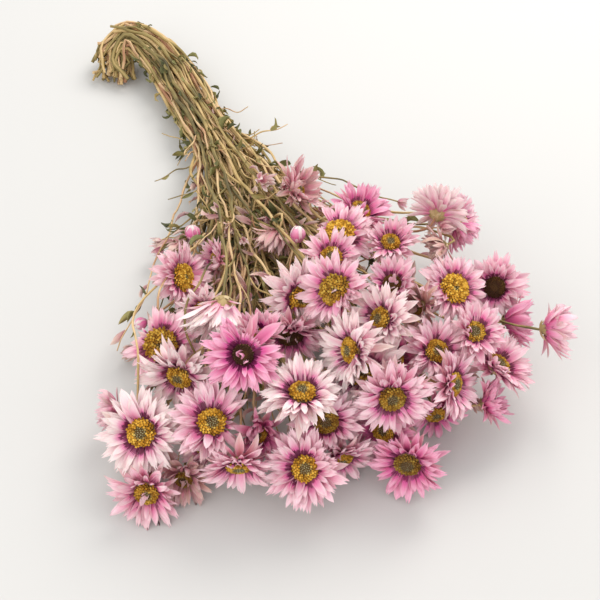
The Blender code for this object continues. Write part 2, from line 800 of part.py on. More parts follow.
def main():
    for old in list(bpy.data.objects):
        bpy.data.objects.remove(old)
    petals = {tint: material("papery " + tint + " bract", colour, 0.6) for tint, colour in TINTS.items()}
    disc = material("golden florets", DISC_COLOUR, 0.8)
    straw = material("dried stem", STEM_COLOUR, 0.75)
    green = material("dried leaf", LEAF_COLOUR, 0.8)
    placed, heads = settle_heads()
    pieces = []
    for k in sorted(placed):
        spot = placed[k]
        kind = "bud" if spot["shape"]["form"] == "bud" else "bloom"
        name = f"{kind}_{k + 1:02d}"
        slots = [petals[spot["tint"]], disc]
        pieces.append(piece_of(name, head_body(spot["shape"]), slots, spot["frame"]))
    lines = stem_lines(placed)
    tubes = [tube(line, radii, 4, turn) for turn, (line, radii) in enumerate(lines)]
    tubes += [tube(end, [STEM_RADIUS] * 2, 4, turn) for turn, end in enumerate(cut_ends())]
    lines = [line for line, _ in lines]
    parts = [piece_of("stalk", body, [straw, green]) for body in tubes]
    parts += [piece_of("leaf", body, [straw, green]) for body in leaf_bodies(lines, heads)]
    pieces.append(fused("stems", piece_of("bundle", bundle(), [straw, green]), parts))
    for piece in pieces:
        cut_at_surface(piece)
    bpy.context.view_layer.update()
    corners = [piece.matrix_world @ v.co for piece in pieces for v in piece.data.vertices]
    low = [min(c[i] for c in corners) for i in range(3)]
    high = [max(c[i] for c in corners) for i in range(3)]
    bunch = bpy.data.objects.new("bunch", None)
    bpy.context.scene.collection.objects.link(bunch)
    bunch.location = (-(low[0] + high[0]) / 2, -(low[1] + high[1]) / 2, -low[2])
    for piece in pieces:
        piece.parent = bunch
        piece.data.shade_smooth()
        piece.data.set_sharp_from_angle(angle=math.radians(35))


main()
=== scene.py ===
"""A bunch of dried rhodanthe lying on a pale floor: pink papery heads, straw stems, dull leaves."""

import json
import math
import random

import bmesh
import bpy
import numpy as np
from mathutils import Matrix, Vector
from mathutils.bvhtree import BVHTree


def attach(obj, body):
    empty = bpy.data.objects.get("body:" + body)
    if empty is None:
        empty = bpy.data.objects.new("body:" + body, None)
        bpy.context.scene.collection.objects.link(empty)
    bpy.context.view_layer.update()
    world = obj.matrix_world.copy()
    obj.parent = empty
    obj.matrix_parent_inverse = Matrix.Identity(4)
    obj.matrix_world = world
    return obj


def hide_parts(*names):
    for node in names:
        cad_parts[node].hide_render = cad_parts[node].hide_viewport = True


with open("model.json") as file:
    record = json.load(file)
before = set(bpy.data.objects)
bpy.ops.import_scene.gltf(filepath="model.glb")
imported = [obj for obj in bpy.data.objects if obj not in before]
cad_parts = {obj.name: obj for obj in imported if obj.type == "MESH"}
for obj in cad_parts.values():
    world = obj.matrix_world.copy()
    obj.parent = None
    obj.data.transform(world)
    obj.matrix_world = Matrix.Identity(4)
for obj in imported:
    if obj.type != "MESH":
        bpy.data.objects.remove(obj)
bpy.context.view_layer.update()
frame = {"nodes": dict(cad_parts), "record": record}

MM = 0.001
SEED = 5

# Places below are in millimetres from the bunch's own origin, which lies here in the frame.
ORIGIN = Vector((2.28, -127.46, 0))

# The camera: where it stands, how far it is turned towards +X and down, and its lens.
CAMERA_PLACE = Vector((-163.1, -408.9, 518.5))
CAMERA_TURN = 19.8
CAMERA_DOWN = 45.5
CAMERA_LENS = 75

# A head's own sizes, for a reach of FULL millimetres: the seat on its stalk, its cup and its disc.
FULL = 22
SEAT_BELOW = 9.0 * MM
CUP_RADIUS = 4.2 * MM
CUP_HEIGHT = 3.0 * MM
DISC_RIM = 6.4 * MM
SEAT_RADIUS = 1.5 * MM
# A bud's height in its radii, and where a CAD disc's first ring of corners is, as a share of its own.
BUD_TALL = 1.9
CROWN_SHARE = 0.62

# The bundle's middle line from the fan to the cut ends: x, y, z, half width and half height.
SPINE = [
    (2, 206, 16, 16, 13),
    (1, 236, 13, 16, 12.5),
    (0, 266, 11.6, 16.5, 12.2),
    (-3, 296, 13, 15.5, 11.5),
    (-10, 321, 17, 14, 10.5),
    (-22, 334, 20, 12.5, 9.5),
    (-34, 331, 16, 11.5, 9),
    (-38, 321, 9.5, 11, 8),
]
FORK = {"x": 2, "y": 158, "z": 21, "half_width": 29, "half_height": 16}

# How fast a bract's or leaf's edges go up and down along it, in radians from root to tip.
RIPPLE_TURNS = 9.0
# The lowest that anything but the floor goes, so that nothing dips into it.
CLEAR = 0.15 * MM

# How each head looks, by its number: how dark its ring is, how brown its disc and how faded its
# bracts are, and how many bracts lie over its disc. USUAL_LOOK is for the rest.
USUAL_LOOK = (0.85, 0.2, 0.12, 0)
LOOKS = {
    1: (0.7, 0.6, 0.1, 0),
    2: (1.0, 0.1, 0.1, 0),
    4: (1.0, 0.45, 0.1, 0),
    8: (0.8, 0.5, 0.1, 0),
    11: (0.6, 0.3, 0.15, 4),
    14: (1.0, 0.15, 0.1, 0),
    16: (0.5, 0.6, 0.75, 3),
    19: (1.0, 0.0, 0.1, 0),
    21: (0.7, 0.3, 0.2, 2),
    24: (1.0, 0.05, 0.1, 0),
    27: (1.0, 1.0, 0.05, 3),
    28: (0.4, 0.6, 0.85, 3),
    29: (1.0, 0.4, 0.0, 7),
    30: (0.8, 0.0, 0.15, 0),
    31: (0.9, 0.9, 0.1, 2),
    32: (0.9, 0.9, 0.1, 0),
    34: (1.0, 0.8, 0.1, 5),
    35: (1.0, 0.1, 0.1, 0),
    36: (0.6, 0.3, 0.2, 0),
    37: (0.9, 0.35, 0.15, 1),
    38: (1.0, 0.3, 0.15, 0),
    40: (0.5, 0.7, 0.8, 2),
    41: (0.3, 0.3, 0.1, 0),
    45: (0.9, 0.0, 0.15, 0),
    50: (0.7, 0.0, 0.2, 0),
    52: (0.4, 0.6, 0.8, 3),
    54: (0.4, 0.2, 0.7, 2),
}

# Discs that have shrunk more than their heads did.
SMALL_DISCS = {"bloom_27": 0.74, "bloom_14": 0.9, "bloom_23": 0.85}

# How many bracts stand in each round, and how many rounds there are, for the CAD's two counts.
ROUNDS = {10: [20, 19, 18, 14], 8: [16, 15, 12]}
# A fine bract goes on past the CAD's blunter tip by this much.
GROWN = 0.99
# Faded outer bracts that hang back under each head.
DROOPING = 13
# How many more times than the other shapes a torn or split bract turns up.
TORN = 2
# Heads whose bracts have shrunk or grown more than the CAD's.
OWN_GROWTH = {"bloom_27": 0.9, "bloom_41": 1.15, "bloom_14": 0.92, "bloom_38": 0.93}
# A nodding head hangs half closed, so its bracts lean this much further over its disc.
NODDING = {"bloom_41": 0.6}
# Bracts that would hide a bud, or one of these small heads, are torn short and pushed back under
# it: how near in the turn, what is left of them, and how far they are turned back, in radians.
IN_SIGHT = ("bloom_29", "bloom_12")
TORN_NEAR = 0.75
TORN_LEFT = 0.3
PUSHED_BACK = 0.7

# Corners of the CAD that are nearer than this are one, and those this near a head's axis are on its
# disc or its seat. The edges round a disc's pole are this even.
SAME_CORNER = 0.01 * MM
NEAR_AXIS = 2.2 * MM
POLE_EVEN = 0.2
# A bract's tip is looked for this near its turn, in radians.
TIP_NEAR = 0.12

# How bracts differ from their neighbours: turns to the side as a share of their spacing, lengths as
# shares of the CAD's, widths as shares of a bract's length, and leans and bows in radians. A head
# whose bracts rise by more than STEEP_FROM counts as closing, up to all closed STEEP_SPAN further.
TURN_JITTER = 0.36
LONGEST = 1.06
SHORTER = 0.34
INNER_SHORTER = 0.12
SHORTEST = 5 * MM
BRACT_WIDTHS = (0.22, 0.33)
LEAN = 0.13
AGE_LEAN = 0.12
BOW = 0.22
BOW_SPREAD = 0.16
AGE_BOW = 0.25
CLOSED_BOW = 0.5
STEEP_FROM = 0.5
STEEP_SPAN = 0.5
# The faded outer bracts that hang back: their lengths as shares of the CAD's, how far they are
# turned back in radians, and their widths as shares of their lengths.
DROOP_LENGTHS = (0.65, 1.05)
DROOP_TURNS = (0.1, 1.0)
DROOP_WIDTHS = (0.2, 0.3)
# A bract folded over a disc: its width, how many millimetres above the disc its tip is, and its bow.
OVER_WIDE = 3.6 * MM
OVER_HIGH = (1.5, 4.5)
OVER_BOWS = (0.8, 1.15)
# Bracts in the rounds of a bud, with how far up it each round goes.
BUD_ROUNDS = [(8, 1.0), (8, 0.9), (7, 0.74), (6, 0.5)]
# The dry scales round a cup: how many, how wide, and how they bow.
SCALES = 10
SCALE_WIDE = 2.6 * MM
SCALE_BOW = -0.35

# Florets stand in a daisy's spirals, and so do a tuft's bracts. A floret riper than OPEN_FROM is
# open. Their widths are shares of the room that each one has, and their heights of the disc's radius.
SPIRAL_TURN = math.radians(137.508)
TUFT_TURN = math.radians(137.5)
OPEN_FROM = 0.35
OPEN_WIDE = (0.86, 1.06)
OPEN_TALL = (0.13, 0.22)
CLOSED_WIDE = (0.66, 0.82)
CLOSED_TALL = (0.08, 0.13)
FLORET_SUNK = 0.03
# A disc blank's usual height as a share of its radius, how many times as wide the ring of inner
# bracts round it is, how far below its rim they and it start, and the share of its head's reach past
# which it is an old one.
DISC_TALL = 0.36
ROUND_DISC = 1.02
RIM_SUNK = 0.3 * MM
OLD_DISC = 0.35

STEM_ROWS = 72
TWIG_ROWS = 24
MORE_STEMS = 52
TWIGS = 190
SHOOTS = 150
# Radii in millimetres: what each kind has at its foot, and what it thins to at its end.
STEM_THICK, STEM_THIN = (0.75, 1.45), 0.62
MORE_THICK, MORE_THIN = (0.55, 1.25), 0.45
SHOOT_THICK, SHOOT_THIN = (0.45, 0.8), 0.35
TWIG_THICK, TWIG_THIN = (0.4, 0.7), 0.3
FRONT_THICK, FRONT_THIN = 0.75, 0.6
# How long a dried stem's slow and quick waves are, and, in millimetres, how far apart its kinks and
# its knots are. A knot is this long, and swells it by this share.
LONG_WAVE = 70 * MM
SHORT_WAVE = 31 * MM
KINK_GAPS = (9, 15)
KNOT_GAPS = (22, 45)
KNOT_LONG = 3.5 * MM
KNOT_SWELL = 0.35
# How far from the bundle's middle neighbouring stems lie, as shares of its half width, and the rows
# of SPINE in which they are cut: most at the hook's end, and some before it.
LAYERS = (0.95, 0.5, 0.8, 0.3)
CUT_ROWS = (7, 7, 7, 6, 6, 5)
# The bunch seen along its bundle: its height as a share of its width, and where its middle is.
FLATNESS = 0.27
MIDDLE_HEIGHT = 38 * MM
# Single stalks that cross before the heads on one side: their places, in the bunch's millimetres.
FRONT_STALKS = [
    [(-20, 108, 32), (-43, 72, 45), (-55, 52, 52), (-65, 36, 56), (-70, 21, 50), (-68, 2, 38)],
    [
        (-40, 104, 32),
        (-70, 69, 44),
        (-84, 56, 47),
        (-94, 40, 50),
        (-97, 17, 51),
        (-101, 5, 42),
        (-104, -8, 30),
    ],
    [(-34, 112, 30), (-71, 64, 46), (-78, 48, 45), (-83, 38, 38), (-86, 30, 30)],
]
# Where the shoots end, in the bunch's millimetres: the low ground between the fan and the heads,
# and that under the heads on its two sides.
OPEN_FAN = [(-58, 34), (58, 132), (3, 30)]
THICKETS = [OPEN_FAN, OPEN_FAN, [(-104, -20), (-45, 62), (3, 22)], [(-20, 60), (-60, 60), (3, 22)]]
# What grows on the stems: how many, where along them, their lengths, their widths as a share of
# that, and, in millimetres, how far they keep from the heads and how far off their stem they start.
LEAVES = {
    "wanted": 1150,
    "shares": (0.35, 0.93),
    "chords": (5, 12),
    "widths": (0.18, 0.38),
    "keep": 1.2,
    "lift": 0,
}
NECK_LEAVES = {
    "wanted": 420,
    "shares": (0.05, 0.42),
    "chords": (6, 13),
    "widths": (0.2, 0.42),
    "keep": 1.2,
    "lift": 1.0,
}
WILTED = {
    "wanted": 420,
    "shares": (0.55, 0.985),
    "chords": (8, 15),
    "widths": (0.2, 0.3),
    "keep": 0.4,
    "lift": 0,
}
# The ways that a stalk may take round what stands before it: how hard it is pulled straight at its
# head and at the fan, and how far it bows, sidewise and upwards, all in millimetres.
PULLS = [(26, 50), (16, 70), (38, 36)]
BOWS = [(0, 0), (0, -8), (7, -6), (-7, -6), (12, -14), (-12, -14), (0, 6), (16, 0), (-16, 0)]

rng = random.Random(SEED)


def linear(colour):
    """An sRGB hex colour as Blender's linear one."""
    channels = [int(colour[i : i + 2], 16) / 255 for i in (0, 2, 4)]
    return [c / 12.92 if c <= 0.04045 else ((c + 0.055) / 1.055) ** 2.4 for c in channels] + [1]


def add(tree, kind, inputs=None, stops=None, **settings):
    """Adds a node, with its settings, its values and links, and a ramp's colours."""
    node = tree.nodes.new("ShaderNode" + kind)
    for key, value in settings.items():
        setattr(node, key, value)
    for key, value in (inputs or {}).items():
        if isinstance(value, bpy.types.NodeSocket):
            tree.links.new(value, node.inputs[key])
        else:
            node.inputs[key].default_value = value
    for k, (place, colour) in enumerate(stops or []):
        ramp = node.color_ramp.elements
        spot = ramp[k] if k < len(ramp) else ramp.new(place)
        spot.position = place
        spot.color = linear(colour)
    return node


def new_material(name):
    """A material with nodes, and with it its tree and its shader."""
    material = bpy.data.materials.new(name)
    material.use_nodes = True
    tree = material.node_tree
    return material, tree, tree.nodes["Principled BSDF"]


def clear():
    """Deselects everything, so that an operator acts on new pieces alone."""
    bpy.ops.object.select_all(action="DESELECT")


def active():
    """The object that was added last."""
    return bpy.context.view_layer.objects.active


def pick(piece, test):
    """In edit mode, selects the corners that pass the test, and what lies between them."""
    mesh = bmesh.from_edit_mesh(piece.data)
    bpy.ops.mesh.select_all(action="DESELECT")
    for corner in mesh.verts:
        corner.select = test(corner)
    mesh.select_flush_mode()
    bmesh.update_edit_mesh(piece.data)


def even_grid(columns, rows):
    """A flat grid of even cells, 1 wide, from y 0 to y 1."""
    clear()
    bpy.ops.mesh.primitive_grid_add(
        x_subdivisions=columns, y_subdivisions=rows, size=1, location=(0, 0.5, 0)
    )
    bpy.ops.object.transform_apply(location=True)
    return active()


def put_away(piece):
    """Takes a finished blank out of the scene, to be copied."""
    bpy.context.scene.collection.objects.unlink(piece)
    return piece


def smoothed(piece, angle):
    """Ends a blank's shaping, with edges sharper than an angle in degrees left as they are."""
    bpy.ops.object.mode_set(mode="OBJECT")
    bpy.ops.object.shade_smooth_by_angle(angle=math.radians(angle))
    return put_away(piece)


def blade_blank(name, widths, folds, columns, tips=None, thick=0.05):
    """A bract or leaf, 1 long along +Y and 1 wide: two skins sewn along their edge.

    widths are from its root to its tip, folds are its section's heights from edge to edge, and tips
    are how far a torn end's corners stick out. Without them it ends in a point.
    """
    rows = len(widths) - 1
    piece = even_grid(columns, rows)
    piece.name = name
    bpy.ops.object.mode_set(mode="EDIT")
    for k, fold in enumerate(folds):
        pick(piece, lambda corner: abs(corner.co.x - (k / columns - 0.5)) < 0.01)
        bpy.ops.transform.translate(value=(0, 0, fold))
    for k, width in enumerate(widths):
        pick(piece, lambda corner: abs(corner.co.y - k / rows) < 0.01)
        bpy.ops.transform.resize(value=(width, 1, width**0.5), center_override=(0, k / rows, 0))
    if tips:
        for k, out in enumerate(tips):
            across = (k / columns - 0.5) * widths[-1]
            pick(piece, lambda corner: corner.co.y > 0.99 and abs(corner.co.x - across) < 0.01)
            bpy.ops.transform.translate(value=(0, out, 0))
    else:
        bpy.ops.mesh.merge(type="CENTER")
    bpy.ops.mesh.select_all(action="SELECT")
    bpy.ops.mesh.duplicate()
    bpy.ops.mesh.flip_normals()
    mesh = bmesh.from_edit_mesh(piece.data)
    for corner in mesh.verts:
        corner.select = corner.select and not corner.is_boundary
    mesh.select_flush_mode()
    bpy.ops.transform.translate(value=(0, 0, -thick))
    bpy.ops.mesh.select_all(action="SELECT")
    bpy.ops.mesh.remove_doubles(threshold=0.0005)
    return smoothed(piece, 75)


def finish_blanks(blanks, name):
    """Gives blanks the finish that their next copies take."""
    for blank in blanks:
        blank.data.materials.clear()
        blank.data.materials.append(materials[name])


def copied(blank, marks):
    """A copy of a blank with its own mesh, and the same value of each mark all over it."""
    piece = blank.copy()
    piece.data = blank.data.copy()
    bpy.context.scene.collection.objects.link(piece)
    for name, value in marks.items():
        mark = piece.data.attributes.get(name) or piece.data.attributes.new(name, "FLOAT", "POINT")
        mark.data.foreach_set("value", [value] * len(piece.data.vertices))
    return piece


def corners_of(piece):
    """A piece's corners, a row of x, y and z for each."""
    flat = np.empty(len(piece.data.vertices) * 3)
    piece.data.vertices.foreach_get("co", flat)
    return flat.reshape(-1, 3)


def put_corners(piece, corners):
    """Moves a piece's corners to these places."""
    piece.data.vertices.foreach_set("co", np.asarray(corners, dtype=float).ravel())
    piece.data.update()


def put_on_floor(piece, corners):
    """Puts a piece's corners in place, with those that would dip into the floor set down on it."""
    corners[:, 2] = np.maximum(corners[:, 2], CLEAR)
    put_corners(piece, corners)
    return piece


def moved(corners, place):
    """Corners taken to a place, which is a 4 by 4 matrix."""
    turn = np.array(place)
    return corners @ turn[:3, :3].T + turn[:3, 3]


def bent(corners, chord, width, bow, twist, hollow, ripple):
    """A blank's corners at its real size: bowed over a chord along +Y, twisted and rippled."""
    bow = bow if abs(bow) > 0.01 else 0.01
    length = chord * bow / math.sin(bow)
    x, y, z = corners.T
    turn = bow * (1 - 2 * y)
    along = length * (math.sin(bow) - np.sin(turn)) / (2 * bow)
    rise = length * (np.cos(turn) - math.cos(bow)) / (2 * bow)
    edge = 2 * x
    wave = ripple * np.sin(RIPPLE_TURNS * y + rng.uniform(0, math.tau)) * edge
    across, up = x * width, (z + hollow * edge**2 + wave) * width
    roll = twist * y
    across, up = across * np.cos(roll) - up * np.sin(roll), across * np.sin(roll) + up * np.cos(roll)
    return np.stack([across, along - np.sin(turn) * up, rise + np.cos(turn) * up], axis=1)


def placed_on(root, along, up):
    """The place whose +Y runs along, with +Z as near to up as it can be."""
    along = along.normalized()
    side = along.cross(up).normalized()
    turn = Matrix((side, along, side.cross(along))).transposed()
    return Matrix.Translation(root) @ turn.to_4x4()


def joined(name, pieces):
    """Joins copies into one piece, at the origin and with its place in its mesh."""
    clear()
    for piece in pieces:
        piece.select_set(True)
    bpy.context.view_layer.objects.active = pieces[0]
    if len(pieces) > 1:
        bpy.ops.object.join()
    pieces[0].name = name
    pieces[0].data.name = name
    return pieces[0]


def read_head(name):
    """Where a head stands and how far its bracts reach, from the corners of its CAD node."""
    mesh = bmesh.new()
    mesh.from_mesh(frame["nodes"][name].data)
    bmesh.ops.remove_doubles(mesh, verts=mesh.verts, dist=SAME_CORNER)
    poles = []
    for corner in mesh.verts:
        reaches = [edge.calc_length() for edge in corner.link_edges]
        if len(reaches) in (8, 10) and np.std(reaches) < POLE_EVEN * np.mean(reaches):
            poles.append((np.mean(reaches), corner))
    pole = max(poles, key=lambda found: found[0])[1]
    crown = [edge.other_vert(pole).co for edge in pole.link_edges]
    hub = sum(crown, Vector()) / len(crown)
    axis = (pole.co - hub).normalized()
    near = [c.co - pole.co for c in mesh.verts]
    near = [arm for arm in near if (arm - axis * arm.dot(axis)).length < NEAR_AXIS]
    tall = -min(arm.dot(axis) for arm in near)
    seat = pole.co - axis * tall
    first = crown[0] - hub
    turn = Matrix((first.normalized(), axis.cross(first.normalized()), axis)).transposed().to_4x4()
    place = Matrix.Translation(seat) @ turn
    count = len(crown)
    head = {
        "name": name,
        "place": place,
        "seat": seat.copy(),
        "axis": axis.copy(),
        "middle": pole.co.copy(),
        "count": count,
        "tall": tall,
        "tree": BVHTree.FromBMesh(mesh),
        "reach": max((corner.co - seat).length for corner in mesh.verts),
    }
    if name.startswith("bloom"):
        head["size"] = tall / SEAT_BELOW
        head["disc"] = first.length / CROWN_SHARE * SMALL_DISCS.get(name, 1)
        back = place.inverted()
        local = [back @ corner.co for corner in mesh.verts if corner is not pole]
        head["tips"] = [bract_tip(local, k * math.pi / count, head["size"]) for k in range(2 * count)]
    mesh.free()
    return head


def bract_tip(corners, angle, size):
    """How far out and how high the furthest of a head's corners in this direction is."""
    best = (CUP_RADIUS * size * 2, CUP_HEIGHT * size)
    far = 0
    for corner in corners:
        off = (math.atan2(corner.y, corner.x) - angle + math.pi) % math.tau - math.pi
        out = math.hypot(corner.x, corner.y)
        away = math.hypot(out, corner.z - CUP_HEIGHT * size)
        if abs(off) < TIP_NEAR and away > far:
            best, far = (out, corner.z), away
    return best


def tip_at(head, angle, inner):
    """The furthest a bract goes in a direction, between the outer and the inner tips of the CAD."""
    count = head["count"]
    found = []
    for layer in (0, 1):
        step = angle / (math.tau / count) - layer / 2
        k, share = math.floor(step), step % 1
        share = share * share * (3 - 2 * share)
        near = head["tips"][(2 * k + layer) % (2 * count)]
        after = head["tips"][(2 * k + 2 + layer) % (2 * count)]
        found.append([a * (1 - share) + b * share for a, b in zip(near, after)])
    return [a * (1 - inner) + b * inner for a, b in zip(*found)]


def bract(head, blank, angle, root, tip, width, bow, marks):
    """One bract on a head, from its root to its tip, each given as distance out and height."""
    piece = copied(blank, marks)
    chord = math.dist(root, tip)
    corners = bent(
        corners_of(piece),
        chord,
        width,
        bow,
        twist=rng.gauss(0, 0.4),
        hollow=rng.uniform(-0.05, 0.3),
        ripple=rng.uniform(0.0, 0.1),
    )
    out = Vector((math.cos(angle), math.sin(angle), 0))
    rise = Vector((0, 0, 1))
    along = out * (tip[0] - root[0]) + rise * (tip[1] - root[1])
    up = rise * (tip[0] - root[0]) - out * (tip[1] - root[1])
    foot = placed_on(out * root[0] + rise * root[1], along, up)
    return put_on_floor(piece, moved(corners, head["place"] @ foot))


def torn_turns(head, in_sight):
    """The turns at which a head's bracts would come between the camera and a smaller head."""
    eye = (ORIGIN + CAMERA_PLACE) * MM
    turns = []
    for other in in_sight:
        if other is head:
            continue
        aim = other["middle"] - eye
        share = (head["middle"] - eye).dot(head["axis"]) / aim.dot(head["axis"])
        spot = head["place"].inverted() @ (eye + aim * share)
        # a bract may bow a little past the other head, and reach a little past its own
        if 0 < share < 1.04 and math.hypot(spot.x, spot.y) < 1.15 * head["reach"]:
            turns.append(math.atan2(spot.y, spot.x))
    return turns


def standing_bracts(head, blanks, ring, age, torn_at):
    """A head's bracts in rounds that follow the reach of the CAD's, torn short at some turns."""
    size, disc = head["size"], head["disc"]
    rounds = ROUNDS[head["count"]]
    grown = GROWN * OWN_GROWTH.get(head["name"], 1)
    rises = [math.atan2(t[1] - CUP_HEIGHT * size, t[0] - CUP_RADIUS * size) for t in head["tips"]]
    closed = min(1, max(0, (np.mean(rises) - STEEP_FROM) / STEEP_SPAN))
    pieces = []
    for k, count in enumerate(rounds):
        inner = k / (len(rounds) - 1)
        start = rng.uniform(0, math.tau)
        root = (
            CUP_RADIUS * size * (1 - inner) + disc * ROUND_DISC * inner,
            CUP_HEIGHT * size * (1 - inner) + (DISC_RIM - RIM_SUNK) * size * inner,
        )
        for i in range(count):
            angle = start + (i + rng.uniform(-TURN_JITTER, TURN_JITTER)) * math.tau / count
            out, high = tip_at(head, angle, inner)
            share = grown * (LONGEST - SHORTER * rng.random() ** 2)
            share *= 1 - INNER_SHORTER * inner
            lean = rng.gauss(NODDING.get(head["name"], 0), LEAN + AGE_LEAN * age)
            for turn in torn_at:
                if abs((angle - turn + math.pi) % math.tau - math.pi) < TORN_NEAR:
                    share *= TORN_LEFT
                    lean -= PUSHED_BACK
            arm = Vector((out - root[0], high - root[1])) * share
            arm.rotate(Matrix.Rotation(lean, 2))
            chord = max(arm.length, SHORTEST * size)
            arm = arm.normalized() * chord
            width = chord * rng.uniform(*BRACT_WIDTHS)
            bow = rng.gauss(BOW - CLOSED_BOW * closed, BOW_SPREAD + AGE_BOW * age)
            marks = {"tone": rng.random(), "ring": ring * inner, "age": age * rng.uniform(0.6, 1.2)}
            tip = (root[0] + arm.x, root[1] + arm.y)
            # the torn and the split bract, which turn up more often than the others
            shape = rng.choice(blanks + TORN * blanks[3:5])
            pieces.append(bract(head, shape, angle, root, tip, width, bow, marks))
    return pieces


def hanging_bracts(head, blanks, age):
    """The faded outer bracts that hang back under a head."""
    size = head["size"]
    pieces = []
    for i in range(DROOPING):
        angle = (i + rng.uniform(-0.4, 0.4)) * math.tau / DROOPING
        out, high = tip_at(head, angle, 0)
        root = (CUP_RADIUS * size * 0.9, CUP_HEIGHT * size * 0.8)
        arm = Vector((out - root[0], high - root[1])) * rng.uniform(*DROOP_LENGTHS)
        turn = 1.5 * NODDING.get(head["name"], 0) - rng.uniform(*DROOP_TURNS)
        arm.rotate(Matrix.Rotation(turn, 2))
        tip = (root[0] + arm.x, root[1] + arm.y)
        marks = {"tone": rng.random() * 0.6, "ring": 0.0, "age": min(1, age + rng.uniform(0.1, 0.5))}
        bow = rng.gauss(0.3, 0.2)
        width = arm.length * rng.uniform(*DROOP_WIDTHS)
        pieces.append(bract(head, rng.choice(blanks), angle, root, tip, width, bow, marks))
    return pieces


def folded_bracts(head, blanks, age, over):
    """The bracts that are folded over a head's disc."""
    size, disc = head["size"], head["disc"]
    pieces = []
    for _ in range(over):
        angle = rng.uniform(0, math.tau)
        root = (disc * ROUND_DISC, DISC_RIM * size)
        tip = (-disc * rng.uniform(0.0, 0.9), head["tall"] + rng.uniform(*OVER_HIGH) * MM)
        marks = {"tone": rng.uniform(0.5, 1.0), "ring": 0.1, "age": age}
        bow = rng.uniform(*OVER_BOWS)
        pieces.append(bract(head, rng.choice(blanks), angle, root, tip, OVER_WIDE * size, bow, marks))
    return pieces


def look_of(head):
    """How dark a head's ring, how brown its disc and how faded its bracts are, and how many fold."""
    return LOOKS.get(int(head["name"][-2:]), USUAL_LOOK)


def dress_bloom(head, blanks, light_blanks, in_sight):
    """All the bracts of an open head."""
    ring, _, age, over = look_of(head)
    return (
        standing_bracts(head, blanks, ring, age, torn_turns(head, in_sight))
        + hanging_bracts(head, light_blanks, age)
        + folded_bracts(head, blanks, age, over)
    )


def floret_blank():
    """An open floret: a five-sided tube, wider at its mouth, with the mouth pushed in."""
    clear()
    bpy.ops.mesh.primitive_cylinder_add(vertices=5, radius=0.5, depth=1, location=(0, 0, 0.5))
    bpy.ops.object.transform_apply(location=True)
    piece = active()
    bpy.ops.object.mode_set(mode="EDIT")
    pick(piece, lambda corner: corner.co.z > 0.9)
    bpy.ops.transform.resize(value=(1.18, 1.18, 1), center_override=(0, 0, 1))
    bpy.ops.mesh.inset(thickness=0.2)
    bpy.ops.transform.translate(value=(0, 0, -0.28))
    return smoothed(piece, 50)


def closed_floret_blank():
    """A floret that hasn't opened: a small rounded bead."""
    clear()
    bpy.ops.mesh.primitive_ico_sphere_add(subdivisions=1, radius=0.5, location=(0, 0, 0.4))
    bpy.ops.object.transform_apply(location=True)
    piece = active()
    bpy.ops.object.mode_set(mode="EDIT")
    pick(piece, lambda corner: corner.co.z > 0.8)
    bpy.ops.transform.translate(value=(0, 0, 0.15))
    bpy.ops.object.mode_set(mode="OBJECT")
    bpy.ops.object.shade_smooth()
    return put_away(piece)


def disc_blank(name, florets, green_share, domed):
    """A disc with a rim radius of one: a dome, and florets on it in the spirals of a daisy."""
    clear()
    bpy.ops.mesh.primitive_uv_sphere_add(segments=20, ring_count=12, radius=0.96)
    dome = active()
    bpy.ops.object.mode_set(mode="EDIT")
    bpy.ops.mesh.select_all(action="SELECT")
    bpy.ops.mesh.bisect(plane_co=(0, 0, 0), plane_no=(0, 0, 1), clear_inner=True, use_fill=True)
    bpy.ops.mesh.select_all(action="SELECT")
    bpy.ops.transform.resize(value=(1, 1, domed), center_override=(0, 0, 0))
    dome = smoothed(dome, 60)
    dome.data.materials.append(materials["pith"])
    pieces = [copied(dome, {"ripe": 0.5, "tone": 0.5})]
    spacing = math.sqrt(math.pi / florets)
    for i in range(florets):
        far = math.sqrt((i + 0.5) / florets)
        angle = i * SPIRAL_TURN
        # the outermost florets still stand up a little
        steep = math.sqrt(1 - 0.93 * far * far) / domed
        up = Vector((math.cos(angle) * far, math.sin(angle) * far, steep))
        spot = Vector((up.x * 0.95, up.y * 0.95, 0.95 * domed * math.sqrt(max(0, 1 - 0.97 * far * far))))
        lean = Vector((rng.uniform(-0.16, 0.16), rng.uniform(-0.16, 0.16), 0))
        ripe = min(1, max(0, (far - green_share) / 0.14 + rng.uniform(-0.3, 0.3)))
        opened = ripe > OPEN_FROM
        piece = copied(florets_open if opened else florets_closed, {"ripe": ripe, "tone": rng.random()})
        wide = spacing * rng.uniform(*(OPEN_WIDE if opened else CLOSED_WIDE))
        tall = rng.uniform(*(OPEN_TALL if opened else CLOSED_TALL))
        size = Matrix.Diagonal((wide, wide, tall, 1))
        turn = (up.normalized() + lean).to_track_quat("Z", "Y").to_matrix().to_4x4()
        spin = Matrix.Rotation(rng.uniform(0, math.tau), 4, "Z")
        place = Matrix.Translation(spot - up.normalized() * FLORET_SUNK) @ turn @ spin @ size
        put_corners(piece, moved(corners_of(piece), place))
        pieces.append(piece)
    return put_away(joined(name, pieces))


def cup_blank():
    """The dry cup under a head, for a disc radius of one: from its seat at z 0 to its disc at z 1."""
    clear()
    bpy.ops.mesh.primitive_cylinder_add(vertices=14, radius=0.34, depth=0.1, location=(0, 0, 0.05))
    bpy.ops.object.transform_apply(location=True)
    piece = active()
    bpy.ops.object.mode_set(mode="EDIT")
    for low, high, wider in ((0.1, 0.34, 1.9), (0.34, 0.66, 1.4), (0.66, 1.0, 1.06)):
        pick(piece, lambda corner: corner.co.z > low - 0.01)
        bpy.ops.mesh.extrude_region_move(TRANSFORM_OT_translate={"value": (0, 0, high - low)})
        bpy.ops.transform.resize(value=(wider, wider, 1), center_override=(0, 0, high))
    return smoothed(piece, 60)


